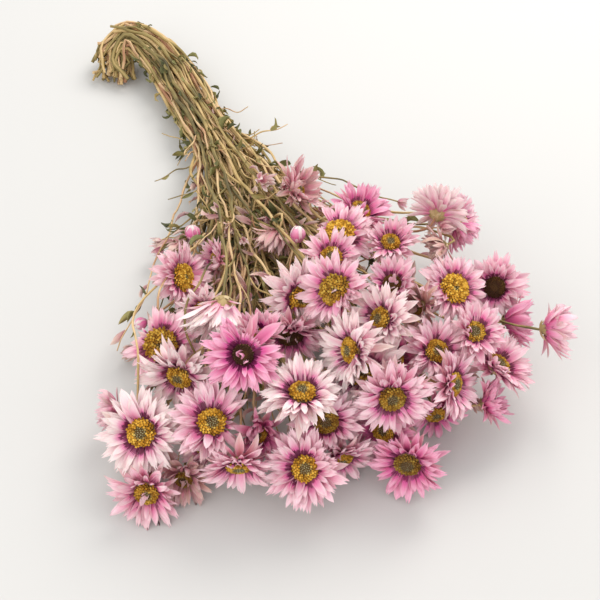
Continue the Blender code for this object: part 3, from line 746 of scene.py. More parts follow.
def dress_disc(head, blank):
    """A head's disc, at its CAD size, as brown as this head's."""
    piece = copied(blank, {"brown": look_of(head)[1]})
    lift = (head["tall"] - DISC_RIM * head["size"]) / DISC_TALL
    size = Matrix.Diagonal((head["disc"], head["disc"], lift, 1))
    spin = Matrix.Rotation(rng.uniform(0, math.tau), 4, "Z")
    rim = Matrix.Translation((0, 0, DISC_RIM * head["size"] - RIM_SUNK))
    put_corners(piece, moved(corners_of(piece), head["place"] @ rim @ spin @ size))
    piece.name = head["name"] + "_florets"
    piece.data.name = piece.name
    return piece


def dress_cup(head, cup, scale):
    """The cup that a head's bracts stand on, with small dry scales round it."""
    size = head["size"]
    body = copied(cup, {"tone": rng.random()})
    wide = head["disc"] * ROUND_DISC
    place = head["place"] @ Matrix.Diagonal((wide, wide, DISC_RIM * size, 1))
    put_corners(body, moved(corners_of(body), place))
    pieces = [body]
    for i in range(SCALES):
        angle = (i + rng.uniform(-0.2, 0.2)) * math.tau / SCALES
        root = (SEAT_RADIUS * size, 0.1 * MM)
        tip = (CUP_RADIUS * size * rng.uniform(1.1, 1.5), CUP_HEIGHT * size * rng.uniform(0.7, 1.1))
        marks = {"tone": rng.random()}
        width = SCALE_WIDE * size
        pieces.append(bract(head, scale, angle, root, tip, width, SCALE_BOW, marks))
    return pieces


def dress_bud(head, blanks):
    """A bud: bracts in four rounds, wrapped round a core and closed over its tip."""
    wide = head["tall"] / BUD_TALL
    clear()
    bpy.ops.mesh.primitive_uv_sphere_add(segments=16, ring_count=10, radius=0.86)
    core = active()
    bpy.ops.object.mode_set(mode="EDIT")
    bpy.ops.mesh.select_all(action="SELECT")
    bpy.ops.transform.translate(value=(0, 0, 0.95))
    bpy.ops.object.mode_set(mode="OBJECT")
    bpy.ops.object.shade_smooth()
    core = copied(put_away(core), {"tone": 0.5, "ring": 0.2, "age": 0.1})
    size = Matrix.Diagonal((wide, wide, wide, 1))
    put_corners(core, moved(corners_of(core), head["place"] @ size))
    core.data.materials.append(materials["rose"])
    pieces = [core]
    for k, (count, reach) in enumerate(BUD_ROUNDS):
        for i in range(count):
            angle = (i + 0.5 * k + rng.uniform(-0.1, 0.1)) * math.tau / count
            root = (0.25 * wide, 0.02 * wide)
            tip = (wide * rng.uniform(0.05, 0.2) * (4 - 3 * reach), head["tall"] * reach)
            marks = {"tone": rng.random(), "ring": 0.25, "age": 0.15}
            bow = -rng.uniform(0.98, 1.16) * (0.6 + 0.4 * reach)
            width = wide * rng.uniform(0.7, 0.95)
            pieces.append(bract(head, rng.choice(blanks), angle, root, tip, width, bow, marks))
    return pieces


def at(x, y, z):
    """A place given in millimetres from the bunch's own origin."""
    return (ORIGIN + Vector((x, y, z))) * MM


def bundle_frames():
    """The bundle's middle, its way, and its arms sideways and upwards, from the fan to the hook."""
    frames = []
    spots = [at(*row[:3]) for row in SPINE]
    for k, row in enumerate(SPINE):
        way = (spots[min(k + 1, len(spots) - 1)] - spots[max(k - 1, 0)]).normalized()
        aside = way.cross(Vector((0, 0, 1))).normalized()
        frames.append((spots[k], way, aside * row[3] * MM, aside.cross(way) * row[4] * MM))
    return frames


def stem_start(angle, share):
    """A stem's places from its cut end, through the hook and the neck, to where the fan opens."""
    frames = bundle_frames()
    last = rng.choice(CUT_ROWS)
    middle, way, aside, upward = frames[last]
    arm = aside * math.cos(angle) + upward * math.sin(angle)
    end = middle + arm * share * rng.uniform(0.8, 1.6) + way * rng.uniform(3, 14) * MM
    end.z = max(end.z, 1.6 * MM)
    places = [end]
    drift = rng.uniform(-0.5, 0.5)
    for k in reversed(range(last + 1)):
        middle, way, aside, upward = frames[k]
        # from the fifth row of SPINE on, towards the cut ends, the stems lie looser
        loose = max(0, k - 3)
        turned = angle + drift * k / len(frames) + rng.uniform(-0.1, 0.1) * (1 + loose)
        far = min(0.97 + 0.06 * loose, share * rng.uniform(0.92, 1.08) * (1 + 0.08 * loose * rng.random()))
        places.append(middle + far * (aside * math.cos(turned) + upward * math.sin(turned)))
    lag = rng.uniform(-16, 16)
    places.append(
        at(
            FORK["x"] + FORK["half_width"] * share * math.cos(angle),
            FORK["y"] + lag,
            FORK["z"] + FORK["half_height"] * share * math.sin(angle),
        )
    )
    return places


def hermite(start, start_way, end, end_way, t):
    """A place on the smooth curve that leaves start and reaches end in the given ways."""
    a, b = 2 * t**3 - 3 * t**2 + 1, t**3 - 2 * t**2 + t
    c, d = -2 * t**3 + 3 * t**2, t**3 - t**2
    return a * start + b * start_way + c * end + d * end_way


def hits(places, heads, own, keep=1.3 * MM):
    """How many steps of a way come too near a head that isn't its own."""
    found = 0
    for a, b in zip(places, places[1:]):
        span = (b - a).length
        near = [h for h in heads if h is not own and (a - h["seat"]).length < h["reach"] + keep + span]
        steps = max(2, int(span / (2.5 * MM))) if near else 0
        for k in range(steps):
            spot = a.lerp(b, k / steps)
            for head in near:
                if (spot - head["seat"]).length < head["reach"] + keep:
                    found += head["tree"].find_nearest(spot, keep)[0] is not None
    return found


def stalk_way(fork, head, heads):
    """The way from the fan to the back of a head that passes the fewest other heads."""
    best = None
    end = head["seat"] - head["axis"] * 0.2 * MM
    neck = end - head["axis"] * 3 * MM
    for bow in BOWS:
        for pull in PULLS:
            places = []
            for k in range(1, 6):
                t = k / 6
                leaving, arriving = Vector((0, -2 * pull[1] * MM, 0)), head["axis"] * 2 * pull[0] * MM
                spot = hermite(fork, leaving, neck, arriving, t)
                swell = math.sin(math.pi * t) * MM
                spot += Vector((bow[0] * swell, 0, bow[1] * swell))
                spot.z = max(spot.z, 1.2 * MM)
                places.append(spot)
            places += [neck, end]
            cost = hits([fork] + places, heads, head)
            if best is None or cost < best[0]:
                best = (cost, places)
            if cost == 0:
                return places
    return best[1]


def smooth_route(places, count):
    """Evenly spaced places on a smooth curve through the given ones, and its length."""
    spots = np.array(places)
    ends = np.vstack([2 * spots[0] - spots[1], spots, 2 * spots[-1] - spots[-2]])
    fine = []
    for a, b, c, d in zip(ends, ends[1:], ends[2:], ends[3:]):
        for t in np.linspace(0, 1, 12, endpoint=False):
            curve = (c - a) * t + (2 * a - 5 * b + 4 * c - d) * t**2 + (3 * b - 3 * c + d - a) * t**3
            fine.append(b + curve / 2)
    fine = np.array(fine + [spots[-1]])
    far = np.concatenate([[0], np.cumsum(np.linalg.norm(np.diff(fine, axis=0), axis=1))])
    even = np.linspace(0, far[-1], count)
    return np.stack([np.interp(even, far, fine[:, i]) for i in range(3)], axis=1), far[-1]


def crooked(route, length, wave, kink, hold=8 * MM):
    """A route with a dried stem's slow waves and small kinks, which fade out at its two ends."""
    along = np.linspace(0, length, len(route))
    fade = np.clip(np.minimum(along, length - along) / hold, 0, 1)[:, None]
    shift = np.zeros_like(route)
    for i in range(3):
        for size, span in ((wave, LONG_WAVE), (wave / 3, SHORT_WAVE)):
            phase = math.tau * along / span / rng.uniform(0.8, 1.3) + rng.uniform(0, math.tau)
            shift[:, i] += size * np.sin(phase)
        corners = max(2, int(length / (rng.uniform(*KINK_GAPS) * MM)))
        jogs = [rng.gauss(0, kink) for _ in range(corners)]
        shift[:, i] += np.interp(along, np.linspace(0, length, corners), jogs)
    made = route + shift * fade
    made[:, 2] = np.maximum(made[:, 2], 1.0 * MM)
    return made


def tube_blank(sides, rows):
    """A tube 1 long along +Y with a radius of 1, rolled up from a sheet so that it keeps its map."""
    piece = even_grid(sides, rows)
    x, y, _ = corners_of(piece).T
    put_corners(piece, np.stack([np.cos(math.tau * x), y, np.sin(math.tau * x)], axis=1))
    bpy.ops.object.mode_set(mode="EDIT")
    bpy.ops.mesh.select_all(action="SELECT")
    bpy.ops.mesh.remove_doubles(threshold=0.0005)
    bpy.ops.mesh.fill_holes(sides=0)
    bpy.ops.mesh.select_all(action="SELECT")
    bpy.ops.mesh.normals_make_consistent(inside=False)
    return smoothed(piece, 60)


def laid_along(corners, route, radii):
    """A tube blank's corners, laid along a route that has a place for each of its rows."""
    ways = np.gradient(route, axis=0)
    ways /= np.linalg.norm(ways, axis=1)[:, None]
    side = np.cross(ways[0], (0.3, 0.2, 1.0))
    sides = []
    for way in ways:
        side = side - way * (side @ way)
        side /= np.linalg.norm(side)
        sides.append(side)
    sides = np.array(sides)
    others = np.cross(sides, ways)
    rows = np.rint(corners[:, 1] * (len(route) - 1)).astype(int)
    arms = corners[:, :1] * sides[rows] + corners[:, 2:] * others[rows]
    return route[rows] + radii[rows, None] * arms


def stem_radii(count, length, thick, thin, knots):
    """A stem's radius along its length, with small swellings where leaves grew."""
    along = np.linspace(0, length, count)
    radii = np.interp(along, [0, length * 0.4, length], [thick, thick * 0.85, thin])
    radii *= 1 + 0.07 * np.sin(along / (5 * MM) + rng.uniform(0, 6))
    spot = rng.uniform(10, 30) * MM
    while knots and spot < length:
        radii *= 1 + KNOT_SWELL * np.exp(-(((along - spot) / KNOT_LONG) ** 2))
        spot += rng.uniform(*KNOT_GAPS) * MM
    return radii


def stem_piece(blank, route, length, thick, thin, knots):
    """A stem along a route, from its radius at its foot to that at its end, in millimetres."""
    radii = stem_radii(len(route), length, thick * MM, thin * MM, knots)
    piece = copied(blank, {"tone": rng.random()})
    return put_on_floor(piece, laid_along(corners_of(piece), route, radii))


def side_of_bunch(head):
    """The angle round the bunch at which a head lies, seen along the bundle."""
    flat = FLATNESS * (head["middle"].x - ORIGIN.x * MM)
    return math.atan2(head["middle"].z - MIDDLE_HEIGHT, flat)


def grow_stems(heads):
    """A stem for each head, from its cut end to its seat, and more that end behind or short of it."""
    ranked = sorted(heads, key=side_of_bunch)
    routes = []
    for place, head in enumerate(ranked):
        angle = (place + 0.5) / len(ranked) * math.tau + math.pi
        share = LAYERS[place % 4]
        places = stem_start(angle, share)
        places += stalk_way(places[-1], head, heads)
        route, length = smooth_route(places, STEM_ROWS + 1)
        thick = rng.uniform(*STEM_THICK)
        routes.append((crooked(route, length, 0.7 * MM, 0.55 * MM), length, thick, STEM_THIN))
    for _ in range(MORE_STEMS):
        head = rng.choice(heads)
        angle, share = rng.uniform(0, math.tau), math.sqrt(rng.random()) * 0.93
        places = stem_start(angle, share)
        end = head["seat"] - head["axis"] * rng.uniform(6, 16) * MM
        end += Vector((rng.uniform(-9, 9), rng.uniform(0, 14), rng.uniform(-9, 5))) * MM
        end.z = max(end.z, 2 * MM)
        if rng.random() < 0.5:
            end = places[-1].lerp(end, rng.uniform(0.25, 0.8))
        places += [places[-1].lerp(end, 0.5) + Vector((0, 0, rng.uniform(-4, 4))) * MM, end]
        route, length = smooth_route(places, STEM_ROWS + 1)
        thick = rng.uniform(*MORE_THICK)
        routes.append((crooked(route, length, 1.0 * MM, 0.7 * MM), length, thick, MORE_THIN))
    return routes


def grow_shoots(routes, heads):
    """Thin side shoots that run low through the thicket behind the heads, every way."""
    shoots = []
    tries = 0
    while len(shoots) < SHOOTS and tries < SHOOTS * 8:
        tries += 1
        route = rng.choice(routes)[0]
        base = Vector(route[int(rng.uniform(0.52, 0.8) * STEM_ROWS)])
        end = at(*[rng.uniform(*span) for span in rng.choice(THICKETS)])
        side = Vector((rng.gauss(0, 9), rng.gauss(0, 9), rng.gauss(0, 5))) * MM
        places = [base, base.lerp(end, 0.35) + side * 0.6, base.lerp(end, 0.7) + side, end]
        for spot in places:
            spot.z = max(spot.z, 1.5 * MM)
        if hits(places, heads, None, 0.8 * MM):
            continue
        shoot, far = smooth_route(places, TWIG_ROWS + 1)
        made = crooked(shoot, far, 0.8 * MM, 0.8 * MM, 5 * MM)
        shoots.append((made, far, rng.uniform(*SHOOT_THICK), SHOOT_THIN))
    return shoots


def grow_twigs(routes, heads):
    """Thin dry stalks that leave the stems in the fan, some curled up."""
    twigs = []
    tries = 0
    while len(twigs) < TWIGS and tries < TWIGS * 6:
        tries += 1
        route = rng.choice(routes)[0]
        k = int(rng.uniform(0.4, 0.88) * STEM_ROWS)
        base = Vector(route[k])
        run = (Vector(route[min(k + 3, STEM_ROWS)]) - base).normalized()
        lean = Vector((rng.uniform(-1, 1), rng.uniform(-0.5, 0.3), rng.uniform(-0.3, 0.9)))
        way = (run + lean * 0.7).normalized()
        reach = rng.uniform(14, 46) * MM
        places = [base, base + way * reach * 0.3]
        for _ in range(3):
            stray = Vector((rng.gauss(0, 0.35), rng.gauss(0, 0.35), rng.gauss(-0.05, 0.3)))
            way = (way + stray).normalized()
            spot = places[-1] + way * reach * 0.25
            spot.z = max(spot.z, 1.5 * MM)
            places.append(spot)
        if hits(places, heads, None, 0.8 * MM):
            continue
        twig, far = smooth_route(places, TWIG_ROWS + 1)
        made = crooked(twig, far, 0.5 * MM, 0.7 * MM, 5 * MM)
        twigs.append((made, far, rng.uniform(*TWIG_THICK), TWIG_THIN))
    return twigs


def grow_blades(kind, blanks, routes, heads, rest):
    """Dry leaves or bracts on the stems: along them in the neck, and standing out in the fan."""
    blades = []
    tries = 0
    while len(blades) < kind["wanted"] and tries < kind["wanted"] * 8:
        tries += 1
        route = rng.choice(routes)[0]
        share = rng.uniform(*kind["shares"])
        k = int(share * (len(route) - 1))
        base = Vector(route[k])
        run = (Vector(route[min(k + 2, len(route) - 1)]) - Vector(route[max(k - 2, 0)])).normalized()
        heart = Vector((ORIGIN.x * MM, base.y, 20 * MM))
        lean = Vector((rng.gauss(0, 0.6), rng.gauss(0, 0.4), rng.gauss(0.1, 0.6)))
        out = (base - heart).normalized() + lean
        spread = 0.25 + 0.7 * share
        way = (run * rng.choice((1, 1, 1, -0.7)) + out * spread * rng.uniform(0.3, 1.2)).normalized()
        base += out.normalized() * kind["lift"] * MM
        chord = rng.uniform(*kind["chords"]) * MM * (0.6 + 0.5 * share)
        tip = base + way * chord
        if tip.z < 1.0 * MM or hits([base, base.lerp(tip, 0.5), tip], heads, None, kind["keep"] * MM):
            continue
        piece = copied(rng.choice(blanks), {"tone": rng.random(), **rest})
        corners = bent(
            corners_of(piece),
            chord,
            chord * rng.uniform(*kind["widths"]),
            rng.uniform(-0.6, 1.1),
            twist=rng.uniform(-1.8, 1.8),
            hollow=rng.uniform(0.0, 0.6),
            ripple=rng.uniform(0.0, 0.2),
        )
        blades.append(put_on_floor(piece, moved(corners, placed_on(base, way, out))))
    return blades


def wilted_tuft(blanks, end, way, heads):
    """A small shrivelled head at a stem's end, where there is room for one."""
    way = way.normalized()
    reach = rng.uniform(7, 12) * MM
    if hits([end, end + way * reach], heads, None, 0.2 * MM):
        return []
    first = way.orthogonal().normalized()
    other = way.cross(first)
    pieces = []
    for i in range(rng.randint(8, 12)):
        angle = i * TUFT_TURN
        side = first * math.cos(angle) + other * math.sin(angle)
        lean = 0.1 + 0.07 * i + rng.gauss(0, 0.12)
        along = way * math.cos(lean) + side * math.sin(lean)
        up = side * math.cos(lean) - way * math.sin(lean)
        piece = copied(rng.choice(blanks), {"tone": rng.random(), "ring": 0.0, "age": rng.uniform(0.2, 0.8)})
        corners = bent(
            corners_of(piece),
            reach * rng.uniform(0.7, 1.1),
            reach * rng.uniform(0.22, 0.34),
            rng.uniform(-0.2, 0.7),
            twist=rng.gauss(0, 0.7),
            hollow=rng.uniform(0.0, 0.4),
            ripple=rng.uniform(0.0, 0.15),
        )
        pieces.append(put_on_floor(piece, moved(corners, placed_on(end, along, up))))
    return pieces


# The marks at a bract's foot: up to where along it they are full, where they have faded out, how
# strong they are, and their colours. One is a magenta blush, and over it is a dark crimson band.
FOOT_BANDS = [(0.27, 0.6, 1.0, "DE479C"), (0.29, 0.345, 1.2, "660744")]


# Rhodanthe bracts: thin, dry and silky, so they are pale and smooth, with fine ribs down their
# length. Their tips are nearly white, their edges carry a painted highlight of their silky sheen, and those
# round the disc have a crimson foot.
def papery(name, tip, blade, root):
    material, tree, shader = new_material(name)
    across, along, _ = add(tree, "SeparateXYZ", {0: add(tree, "UVMap").outputs[0]}).outputs
    tone = add(tree, "Attribute", attribute_name="tone").outputs["Fac"]
    ring = add(tree, "Attribute", attribute_name="ring").outputs["Fac"]
    age = add(tree, "Attribute", attribute_name="age").outputs["Fac"]
    # a bract is about 4.5 mm wide, and its ribs are 0.5 mm apart
    side = add(tree, "Math", {0: across, 1: 9.0}, operation="MULTIPLY").outputs[0]
    side = add(tree, "Math", {0: tone, 1: 53.0, 2: side}, operation="MULTIPLY_ADD").outputs[0]
    end = add(tree, "Math", {0: along, 1: 1.3}, operation="MULTIPLY").outputs[0]
    spot = add(tree, "CombineXYZ", {0: side, 1: end}).outputs[0]
    ribs = add(tree, "TexNoise", {"Vector": spot, "Scale": 1.0, "Detail": 3.0, "Roughness": 0.6}).outputs[0]
    uneven = add(tree, "Math", {0: ribs, 1: 0.5}, operation="SUBTRACT").outputs[0]
    place = add(tree, "Math", {0: uneven, 1: 0.5, 2: along}, operation="MULTIPLY_ADD").outputs[0]
    shade = add(tree, "Math", {0: tone, 1: 0.25, 2: place}, operation="MULTIPLY_ADD").outputs[0]
    # the edges are painted paler, towards the tip's colour: a painted highlight for the silky sheen along a
    # bract's edges
    middle = add(tree, "Math", {0: across, 1: 0.5}, operation="SUBTRACT").outputs[0]
    edge = add(tree, "Math", {0: middle, 1: middle}, operation="MULTIPLY").outputs[0]
    shade = add(tree, "Math", {0: edge, 1: 1.0, 2: shade}, operation="MULTIPLY_ADD").outputs[0]
    stops = [(0.22, root), (0.58, blade), (1.1, tip)]
    blush = add(tree, "ValToRGB", {0: shade}, stops=stops).outputs[0]
    vein = add(
        tree,
        "MapRange",
        {"Value": ribs, "From Min": 0.53, "From Max": 0.7, "To Min": 0.0, "To Max": 0.6},
    ).outputs[0]
    blush = add(tree, "MixRGB", {"Fac": vein, "Color1": blush, "Color2": linear(root)}).outputs[0]
    for start, stop, share, colour in FOOT_BANDS:
        foot = add(
            tree,
            "MapRange",
            {"Value": place, "From Min": start, "From Max": stop, "To Min": share, "To Max": 0.0},
        ).outputs[0]
        foot = add(tree, "Math", {0: foot, 1: ring}, operation="MULTIPLY", use_clamp=True).outputs[0]
        blush = add(tree, "MixRGB", {"Fac": foot, "Color1": blush, "Color2": linear(colour)}).outputs[0]
    blotch = add(tree, "TexNoise", {"Vector": spot, "Scale": 0.35, "Detail": 2.0}).outputs[0]
    fade = add(tree, "Math", {0: blotch, 1: age}, operation="MULTIPLY").outputs[0]
    fade = add(tree, "Math", {0: fade, 1: 1.5}, operation="MULTIPLY", use_clamp=True).outputs[0]
    blush = add(tree, "MixRGB", {"Fac": fade, "Color1": blush, "Color2": linear("C9A58C")}).outputs[0]
    tree.links.new(blush, shader.inputs["Base Color"])
    dull = add(tree, "MapRange", {"Value": ribs, "To Min": 0.35, "To Max": 0.58}).outputs[0]
    tree.links.new(dull, shader.inputs["Roughness"])
    bump = add(tree, "Bump", {"Height": ribs, "Strength": 0.8, "Distance": 0.0003})
    tree.links.new(bump.outputs[0], shader.inputs["Normal"])
    shader.inputs["Subsurface Weight"].default_value = 0.25
    shader.inputs["Subsurface Radius"].default_value = (1.0, 0.5, 0.65)
    shader.inputs["Subsurface Scale"].default_value = 0.0012
    shader.inputs["Specular IOR Level"].default_value = 0.3
    return material


# Ripe florets: dry, powdery with pollen, so they are matte. They are golden, grey-green where they
# haven't opened, and brown on an old head.
def powdery(name):
    material, tree, shader = new_material(name)
    tone = add(tree, "Attribute", attribute_name="tone").outputs["Fac"]
    ripe = add(tree, "Attribute", attribute_name="ripe").outputs["Fac"]
    brown = add(tree, "Attribute", attribute_name="brown").outputs["Fac"]
    golden = [(0.0, "9E7016"), (0.5, "D8A531"), (1.0, "F0CE5C")]
    gold = add(tree, "ValToRGB", {0: tone}, stops=golden).outputs[0]
    green = add(tree, "ValToRGB", {0: tone}, stops=[(0.0, "6E6C48"), (1.0, "A8A47C")]).outputs[0]
    colour = add(tree, "MixRGB", {"Fac": ripe, "Color1": green, "Color2": gold}).outputs[0]
    spot = add(tree, "TexCoord").outputs["Object"]
    # brown patches about 4 mm across
    patch = add(tree, "TexNoise", {"Vector": spot, "Scale": 260.0, "Detail": 3.0}).outputs[0]
    old = add(tree, "Math", {0: patch, 1: 0.55, 2: brown}, operation="MULTIPLY_ADD").outputs[0]
    old = add(tree, "MapRange", {"Value": old, "From Min": 0.36, "From Max": 1.2}).outputs[0]
    colour = add(tree, "MixRGB", {"Fac": old, "Color1": colour, "Color2": linear("4A2A12")}).outputs[0]
    tree.links.new(colour, shader.inputs["Base Color"])
    shader.inputs["Roughness"].default_value = 0.85
    # grains 0.3 mm across: pollen is finer, but wouldn't show
    grain = add(tree, "TexNoise", {"Vector": spot, "Scale": 3500.0}).outputs[0]
    bump = add(tree, "Bump", {"Height": grain, "Strength": 0.4, "Distance": 0.0001})
    tree.links.new(bump.outputs[0], shader.inputs["Normal"])
    return material


# Dry plant tissue that has gone woody: matte, with fine fibres along it and slow changes of colour.
# lines is how many fibres its sheet has across it: on a stem 2 mm thick they are about 1 mm apart.
def fibrous(name, stops, lines, rough, grain_depth):
    material, tree, shader = new_material(name)
    across, along, _ = add(tree, "SeparateXYZ", {0: add(tree, "UVMap").outputs[0]}).outputs
    tone = add(tree, "Attribute", attribute_name="tone").outputs["Fac"]
    side = add(tree, "Math", {0: across, 1: lines}, operation="MULTIPLY").outputs[0]
    side = add(tree, "Math", {0: tone, 1: 71.0, 2: side}, operation="MULTIPLY_ADD").outputs[0]
    end = add(tree, "Math", {0: along, 1: 6.0}, operation="MULTIPLY").outputs[0]
    spot = add(tree, "CombineXYZ", {0: side, 1: end}).outputs[0]
    fibre = add(tree, "TexNoise", {"Vector": spot, "Scale": 1.0, "Detail": 4.0}).outputs[0]
    here = add(tree, "TexCoord").outputs["Object"]
    # the colour changes slowly, over about 22 mm
    slow = add(tree, "TexNoise", {"Vector": here, "Scale": 45.0, "Detail": 3.0}).outputs[0]
    mixed = add(tree, "Math", {0: fibre, 1: 0.9, 2: tone}, operation="MULTIPLY_ADD").outputs[0]
    mixed = add(tree, "Math", {0: slow, 1: 1.2, 2: mixed}, operation="MULTIPLY_ADD").outputs[0]
    mixed = add(tree, "MapRange", {"Value": mixed, "From Min": 0.9, "From Max": 2.1}).outputs[0]
    colour = add(tree, "ValToRGB", {0: mixed}, stops=stops).outputs[0]
    tree.links.new(colour, shader.inputs["Base Color"])
    shader.inputs["Roughness"].default_value = rough
    bump = add(tree, "Bump", {"Height": fibre, "Strength": 0.6, "Distance": grain_depth})
    tree.links.new(bump.outputs[0], shader.inputs["Normal"])
    return material


materials = {
    "pale": papery("pale rhodanthe bract, dried", "FFEDEC", "F9CBD7", "E26AA3"),
    "pink": papery("pink rhodanthe bract, dried", "FCD5DF", "F19CBD", "D24A8B"),
    "rose": papery("rose rhodanthe bract, dried", "F6B0CB", "E36BA2", "BC357F"),
    "wilted": papery("wilted rhodanthe bract", "E6C9BE", "D0979F", "9A5468"),
    "florets": powdery("ripe florets"),
    "pith": fibrous("disc under the florets", [(0.0, "35220D"), (1.0, "6B4A1C")], 6.0, 0.9, 0.0001),
    "cup": fibrous("dry cup", [(0.0, "8C7B4E"), (0.5, "B39A6A"), (1.0, "C9B48C")], 10.0, 0.75, 0.0001),
    "stem": fibrous(
        "dried stem",
        [(0.0, "4C4426"), (0.25, "8C7B47"), (0.5, "C4A76F"), (0.75, "DABD8E"), (1.0, "A9785A")],
        7.0,
        0.7,
        0.00025,
    ),
    "leaf": fibrous(
        "dried leaf",
        [(0.0, "33371F"), (0.35, "5C5E35"), (0.65, "85824C"), (1.0, "A8955F")],
        10.0,
        0.75,
        0.0003,
    ),
}

# Blades' widths from root to tip, as shares of their widest.
pointed = [0.46, 0.7, 0.88, 0.97, 1.0, 0.98, 0.88, 0.6, 0.12]
narrow = [0.42, 0.6, 0.74, 0.84, 0.88, 0.86, 0.74, 0.46, 0.08]
blunt = [0.46, 0.72, 0.9, 1.0, 1.03, 1.02, 0.95, 0.8, 0.52]
bracts = [
    blade_blank("pointed bract", pointed, [0.07, -0.02, 0.05, -0.02, 0.07], 4),
    blade_blank("narrow bract", narrow, [0.1, -0.03, 0.03, -0.02, 0.05], 4),
    blade_blank("rolled bract", pointed, [0.22, 0.05, 0.0, 0.03, 0.14], 4),
    blade_blank("torn bract", blunt, [0.05, -0.02, 0.06, -0.03, 0.08], 4, [-0.06, 0.09, -0.05, 0.1, -0.07]),
    blade_blank("split bract", blunt, [0.08, 0.0, -0.05, 0.01, 0.06], 4, [0.03, 0.09, -0.07, 0.07, -0.05]),
    blade_blank("folded bract", pointed, [0.0, 0.14, 0.26, 0.12, -0.02], 4),
    blade_blank("keeled bract", narrow, [0.2, 0.06, -0.06, 0.1, 0.26], 4),
]
short = [0.34, 0.8, 1.0, 0.98, 0.62, 0.12]
light_bracts = [
    blade_blank("light bract", short, [0.1, -0.04, 0.12], 2),
    blade_blank("light rolled bract", short, [0.26, 0.0, 0.16], 2),
    blade_blank("light folded bract", short, [0.0, 0.2, -0.04], 2),
]
scale = blade_blank("dry scale", [0.6, 0.95, 0.9, 0.5, 0.1], [0.05, 0.0, 0.05], 2)
lance = [0.25, 0.72, 1.0, 0.96, 0.74, 0.4, 0.08]
leaf_blanks = [
    blade_blank("folded leaf", lance, [0.2, 0.0, 0.24], 2),
    blade_blank("curled leaf", lance, [0.4, 0.04, 0.06, 0.3], 3),
    blade_blank("wavy leaf", lance, [0.0, 0.16, -0.04, 0.1], 3),
]
for blank in leaf_blanks:
    blank.data.materials.append(materials["leaf"])
scale.data.materials.append(materials["cup"])
florets_open, florets_closed = floret_blank(), closed_floret_blank()
for blank in (florets_open, florets_closed):
    blank.data.materials.append(materials["florets"])
# how many florets each disc has, how far out the closed green ones reach, and how domed it is
discs = {
    "young": disc_blank("young disc", 110, 0.48, 0.34),
    "ripe": disc_blank("ripe disc", 118, 0.36, 0.36),
    "old": disc_blank("old disc", 135, 0.12, 0.44),
}
cup = cup_blank()
cup.data.materials.append(materials["cup"])
tube = tube_blank(8, STEM_ROWS)
tube.data.materials.append(materials["stem"])
thread = tube_blank(6, TWIG_ROWS)
thread.data.materials.append(materials["stem"])

tints = {row["node"]: row["material_slot"] for row in frame["record"]["subparts"]}
heads = [read_head(name) for name in sorted(frame["nodes"]) if name != "stems"]
in_sight = [head for head in heads if head["name"].startswith("bud") or head["name"] in IN_SIGHT]
for head in heads:
    slot = tints[head["name"]]
    finish_blanks(bracts + light_bracts, slot.split("_")[1])
    if head["name"].startswith("bud"):
        made = dress_bud(head, bracts[:3])
    else:
        made = dress_bloom(head, bracts, light_bracts, in_sight) + dress_cup(head, cup, scale)
        old = head["disc"] > OLD_DISC * head["size"] * FULL * MM
        kind = "old" if old else rng.choice(("young", "ripe", "ripe"))
        disc = dress_disc(head, discs[kind])
        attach(disc, "root")
        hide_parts(head["name"])
    piece = joined(head["name"] + "_bracts", made)
    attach(piece, "root")
    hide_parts(head["name"])

routes = grow_stems(heads)
shoots = grow_shoots(routes, heads)
twigs = grow_twigs(routes, heads) + shoots
for places in FRONT_STALKS:
    route, length = smooth_route([at(*place) for place in places], TWIG_ROWS + 1)
    made = crooked(route, length, 0.8 * MM, 0.7 * MM)
    twigs.append((made, length, FRONT_THICK, FRONT_THIN))
leaf_routes = routes + twigs + 2 * shoots
stem_pieces = [
    joined("dried_stems", [stem_piece(tube, *stem, knots=True) for stem in routes]),
    joined("dried_twigs", [stem_piece(thread, *twig, knots=False) for twig in twigs]),
    joined(
        "dried_leaves",
        grow_blades(LEAVES, leaf_blanks, leaf_routes, heads, {})
        + grow_blades(NECK_LEAVES, leaf_blanks, routes, heads, {}),
    ),
]
for piece in stem_pieces:
    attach(piece, "root")
    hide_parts("stems")
finish_blanks(light_bracts, "wilted")
wilted = grow_blades(WILTED, light_bracts, routes + 2 * shoots, heads, {"ring": 0.0, "age": 0.4})
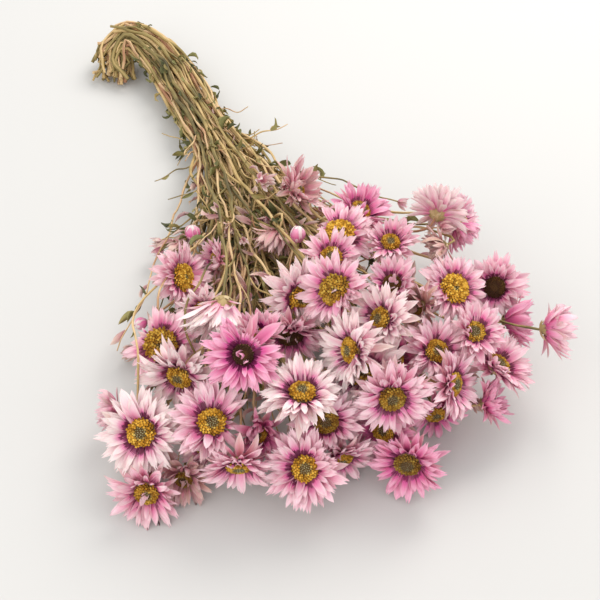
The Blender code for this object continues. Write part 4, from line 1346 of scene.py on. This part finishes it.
for k, (route, *_) in enumerate(routes[len(heads) :] + shoots[::2]):
    finish_blanks(light_bracts, ("wilted", "pink", "wilted", "pale")[k % 4])
    wilted += wilted_tuft(light_bracts, Vector(route[-1]), Vector(route[-1] - route[-5]), heads)
fallen = joined("wilted_bracts", wilted)
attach(fallen, "root")
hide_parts("stems")

# A floor with matte paint, which shows soft shadows and no gloss, wide enough for every view.
clear()
bpy.ops.mesh.primitive_plane_add(size=60, location=(0, 0, 0))
floor = active()
floor.name = "floor"
matte, _, shader = new_material("matte painted floor")
shader.inputs["Base Color"].default_value = linear("CBCBC9")
shader.inputs["Roughness"].default_value = 0.75
floor.data.materials.append(matte)

world = bpy.data.worlds.new("soft studio")
bpy.context.scene.world = world
world.use_nodes = True
world.node_tree.nodes["Background"].inputs["Color"].default_value = linear("FFFFFF")
world.node_tree.nodes["Background"].inputs["Strength"].default_value = 1.0
bpy.context.scene.view_settings.view_transform = "Standard"


def soft_box(name, place, aim, side, power):
    """A square soft light that looks at a place."""
    light = bpy.data.lights.new(name, "AREA")
    light.color = linear("FFF9F4")[:3]
    light.size = side
    light.energy = power
    lamp = bpy.data.objects.new(name, light)
    bpy.context.scene.collection.objects.link(lamp)
    lamp.location = place
    lamp.rotation_euler = (Vector(aim) - Vector(place)).to_track_quat("-Z", "Y").to_euler()


soft_box("window", (0.7, 0.5, 0.95), (0, -0.02, 0.03), 0.7, 10)
soft_box("fill", (-0.8, -0.7, 0.8), (0, -0.05, 0.03), 1.0, 5)

turn, down = math.radians(CAMERA_TURN), math.radians(CAMERA_DOWN)
ahead = Vector((math.sin(turn) * math.cos(down), math.cos(turn) * math.cos(down), -math.sin(down)))
camera = bpy.data.objects.new("camera", bpy.data.cameras.new("camera"))
camera.data.lens = CAMERA_LENS
camera.data.clip_start = 0.01
camera.location = (ORIGIN + CAMERA_PLACE) * MM
camera.rotation_euler = ahead.to_track_quat("-Z", "Y").to_euler()
bpy.context.scene.collection.objects.link(camera)
bpy.context.scene.camera = camera
